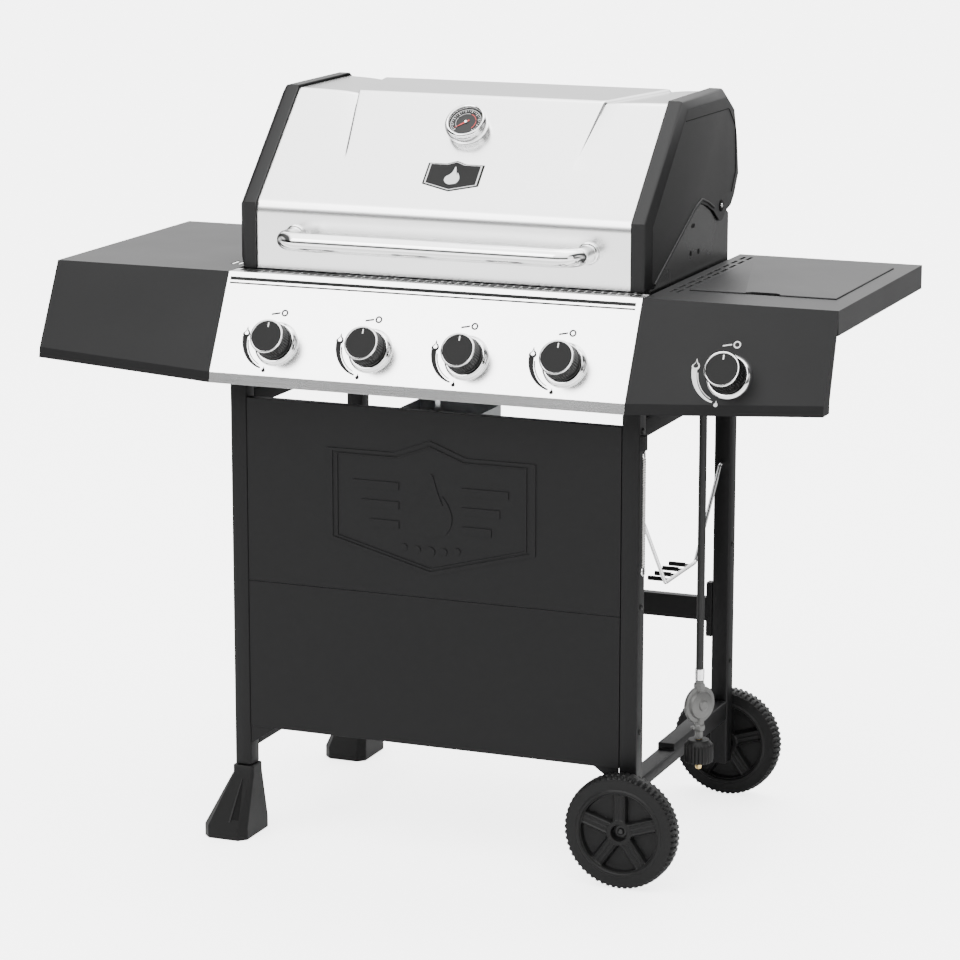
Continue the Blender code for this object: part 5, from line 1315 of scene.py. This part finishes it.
def make_floor():
    """A pale floor that the steel sees darker far ahead, near the cart and behind it, with a glint ahead."""
    mat = bpy.data.materials.new("studio_floor")
    mat.use_nodes = True
    tree = mat.node_tree
    shader = tree.nodes["Principled BSDF"]
    axes = tree.nodes.new("ShaderNodeSeparateXYZ")
    tree.links.new(tree.nodes.new("ShaderNodeTexCoord").outputs["Object"], axes.inputs["Vector"])
    y = axes.outputs["Y"]
    mirror = tree.nodes.new("ShaderNodeLightPath").outputs["Is Glossy Ray"]
    far = math_node(tree, "MULTIPLY", ramp(tree, y, *FLOOR_FAR), FAR_SHARE)
    off = math_node(tree, "ABSOLUTE", math_node(tree, "SUBTRACT", y, FLOOR_NEAR_Y))
    near = math_node(tree, "MULTIPLY", math_node(tree, "SUBTRACT", 1.0, off, clamp=True), NEAR_SHARE)
    dark = math_node(tree, "MAXIMUM", math_node(tree, "MAXIMUM", far, near), ramp(tree, y, *FLOOR_BEHIND))
    loss = math_node(tree, "MULTIPLY", math_node(tree, "MULTIPLY", dark, mirror), FLOOR_LOSS)
    tree.links.new(math_node(tree, "SUBTRACT", FLOOR_TONE, loss), shader.inputs["Base Color"])
    shader.inputs["Roughness"].default_value = 0.75
    shader.inputs["Emission Color"].default_value = (1.0, 1.0, 1.0, 1.0)
    glow = math_node(tree, "MULTIPLY", camera_ray(tree), FLOOR_GLOW)
    ahead = math_node(tree, "MULTIPLY", mirror, ramp(tree, y, *FLOOR_AHEAD))
    glint = math_node(tree, "MULTIPLY", ahead, FLOOR_GLINT)
    tree.links.new(math_node(tree, "ADD", glow, glint), shader.inputs["Emission Strength"])
    half = FLOOR_HALF
    corners = [(-half, -half, 0.0), (half, -half, 0.0), (half, half, 0.0), (-half, half, 0.0)]
    return link("floor", mesh_of("floor", corners, [[0, 1, 2, 3]]), mat, 0.0)


def area_light(name, place, target, width, height, power):
    """A soft box aimed at a point."""
    lamp = bpy.data.lights.new(name, "AREA")
    lamp.shape = "RECTANGLE"
    lamp.size = width
    lamp.size_y = height
    lamp.energy = power
    obj = bpy.data.objects.new(name, lamp)
    aim = Vector(target) - Vector(place)
    obj.matrix_world = Matrix.Translation(place) @ aim.to_track_quat("-Z", "Y").to_matrix().to_4x4()
    SCENE.collection.objects.link(obj)
    return obj


def make_world():
    """A white studio with a dark band near the horizon, and a black flag to either side."""
    world = bpy.data.worlds.new("studio")
    SCENE.world = world
    world.use_nodes = True
    tree = world.node_tree
    sky = tree.nodes["Background"]
    toward = tree.nodes.new("ShaderNodeTexCoord").outputs["Generated"]
    axes = tree.nodes.new("ShaderNodeSeparateXYZ")
    tree.links.new(toward, axes.inputs["Vector"])
    height = math_node(tree, "ADD", math_node(tree, "MULTIPLY", axes.outputs["Z"], 0.5), 0.5)
    ramp = tree.nodes.new("ShaderNodeValToRGB")
    bands = ramp.color_ramp.elements
    while len(bands) < len(SKY_BANDS):
        bands.new(0.5)
    for band, (at, level) in zip(bands, SKY_BANDS):
        band.position = at
        band.color = (level / 4, level / 4, level / 4, 1.0)
    tree.links.new(height, ramp.inputs["Fac"])
    level = math_node(tree, "MULTIPLY", ramp.outputs["Color"], 4.0)
    behind = math_node(tree, "MULTIPLY", math_node(tree, "ADD", axes.outputs["Y"], 0.15), 2.5, clamp=True)
    lifted = math_node(tree, "MAXIMUM", level, math_node(tree, "MULTIPLY", behind, BACK_SKY))
    aside = math_node(tree, "ABSOLUTE", axes.outputs["X"])
    rise = math_node(tree, "MULTIPLY", math_node(tree, "SUBTRACT", aside, SIDE_FLAG[0]), 9.0, clamp=True)
    fall = math_node(tree, "MULTIPLY", math_node(tree, "SUBTRACT", SIDE_FLAG[1], aside), 9.0, clamp=True)
    flag = math_node(tree, "MULTIPLY", rise, fall)
    lifted = math_node(tree, "MULTIPLY", lifted,
                       math_node(tree, "SUBTRACT", 1.0, math_node(tree, "MULTIPLY", flag, FLAG_DEPTH)))
    seen = math_node(tree, "MAXIMUM", lifted, math_node(tree, "MULTIPLY", camera_ray(tree), SKY_SEEN))
    sky.inputs["Color"].default_value = (1.0, 1.0, 1.0, 1.0)
    tree.links.new(seen, sky.inputs["Strength"])


def make_stage():
    """Floor, soft lights and the world."""
    middle = (0.0, 0.0, 0.7)
    make_floor()
    area_light("key", (-1.8, -3.4, 3.6), middle, 2.2, 2.2, 70.0)
    area_light("fill", (3.4, -2.6, 1.9), middle, 1.6, 2.4, 30.0)
    area_light("top", (0.2, 0.6, 4.2), middle, 2.6, 2.0, 45.0)
    make_world()


make_stage()
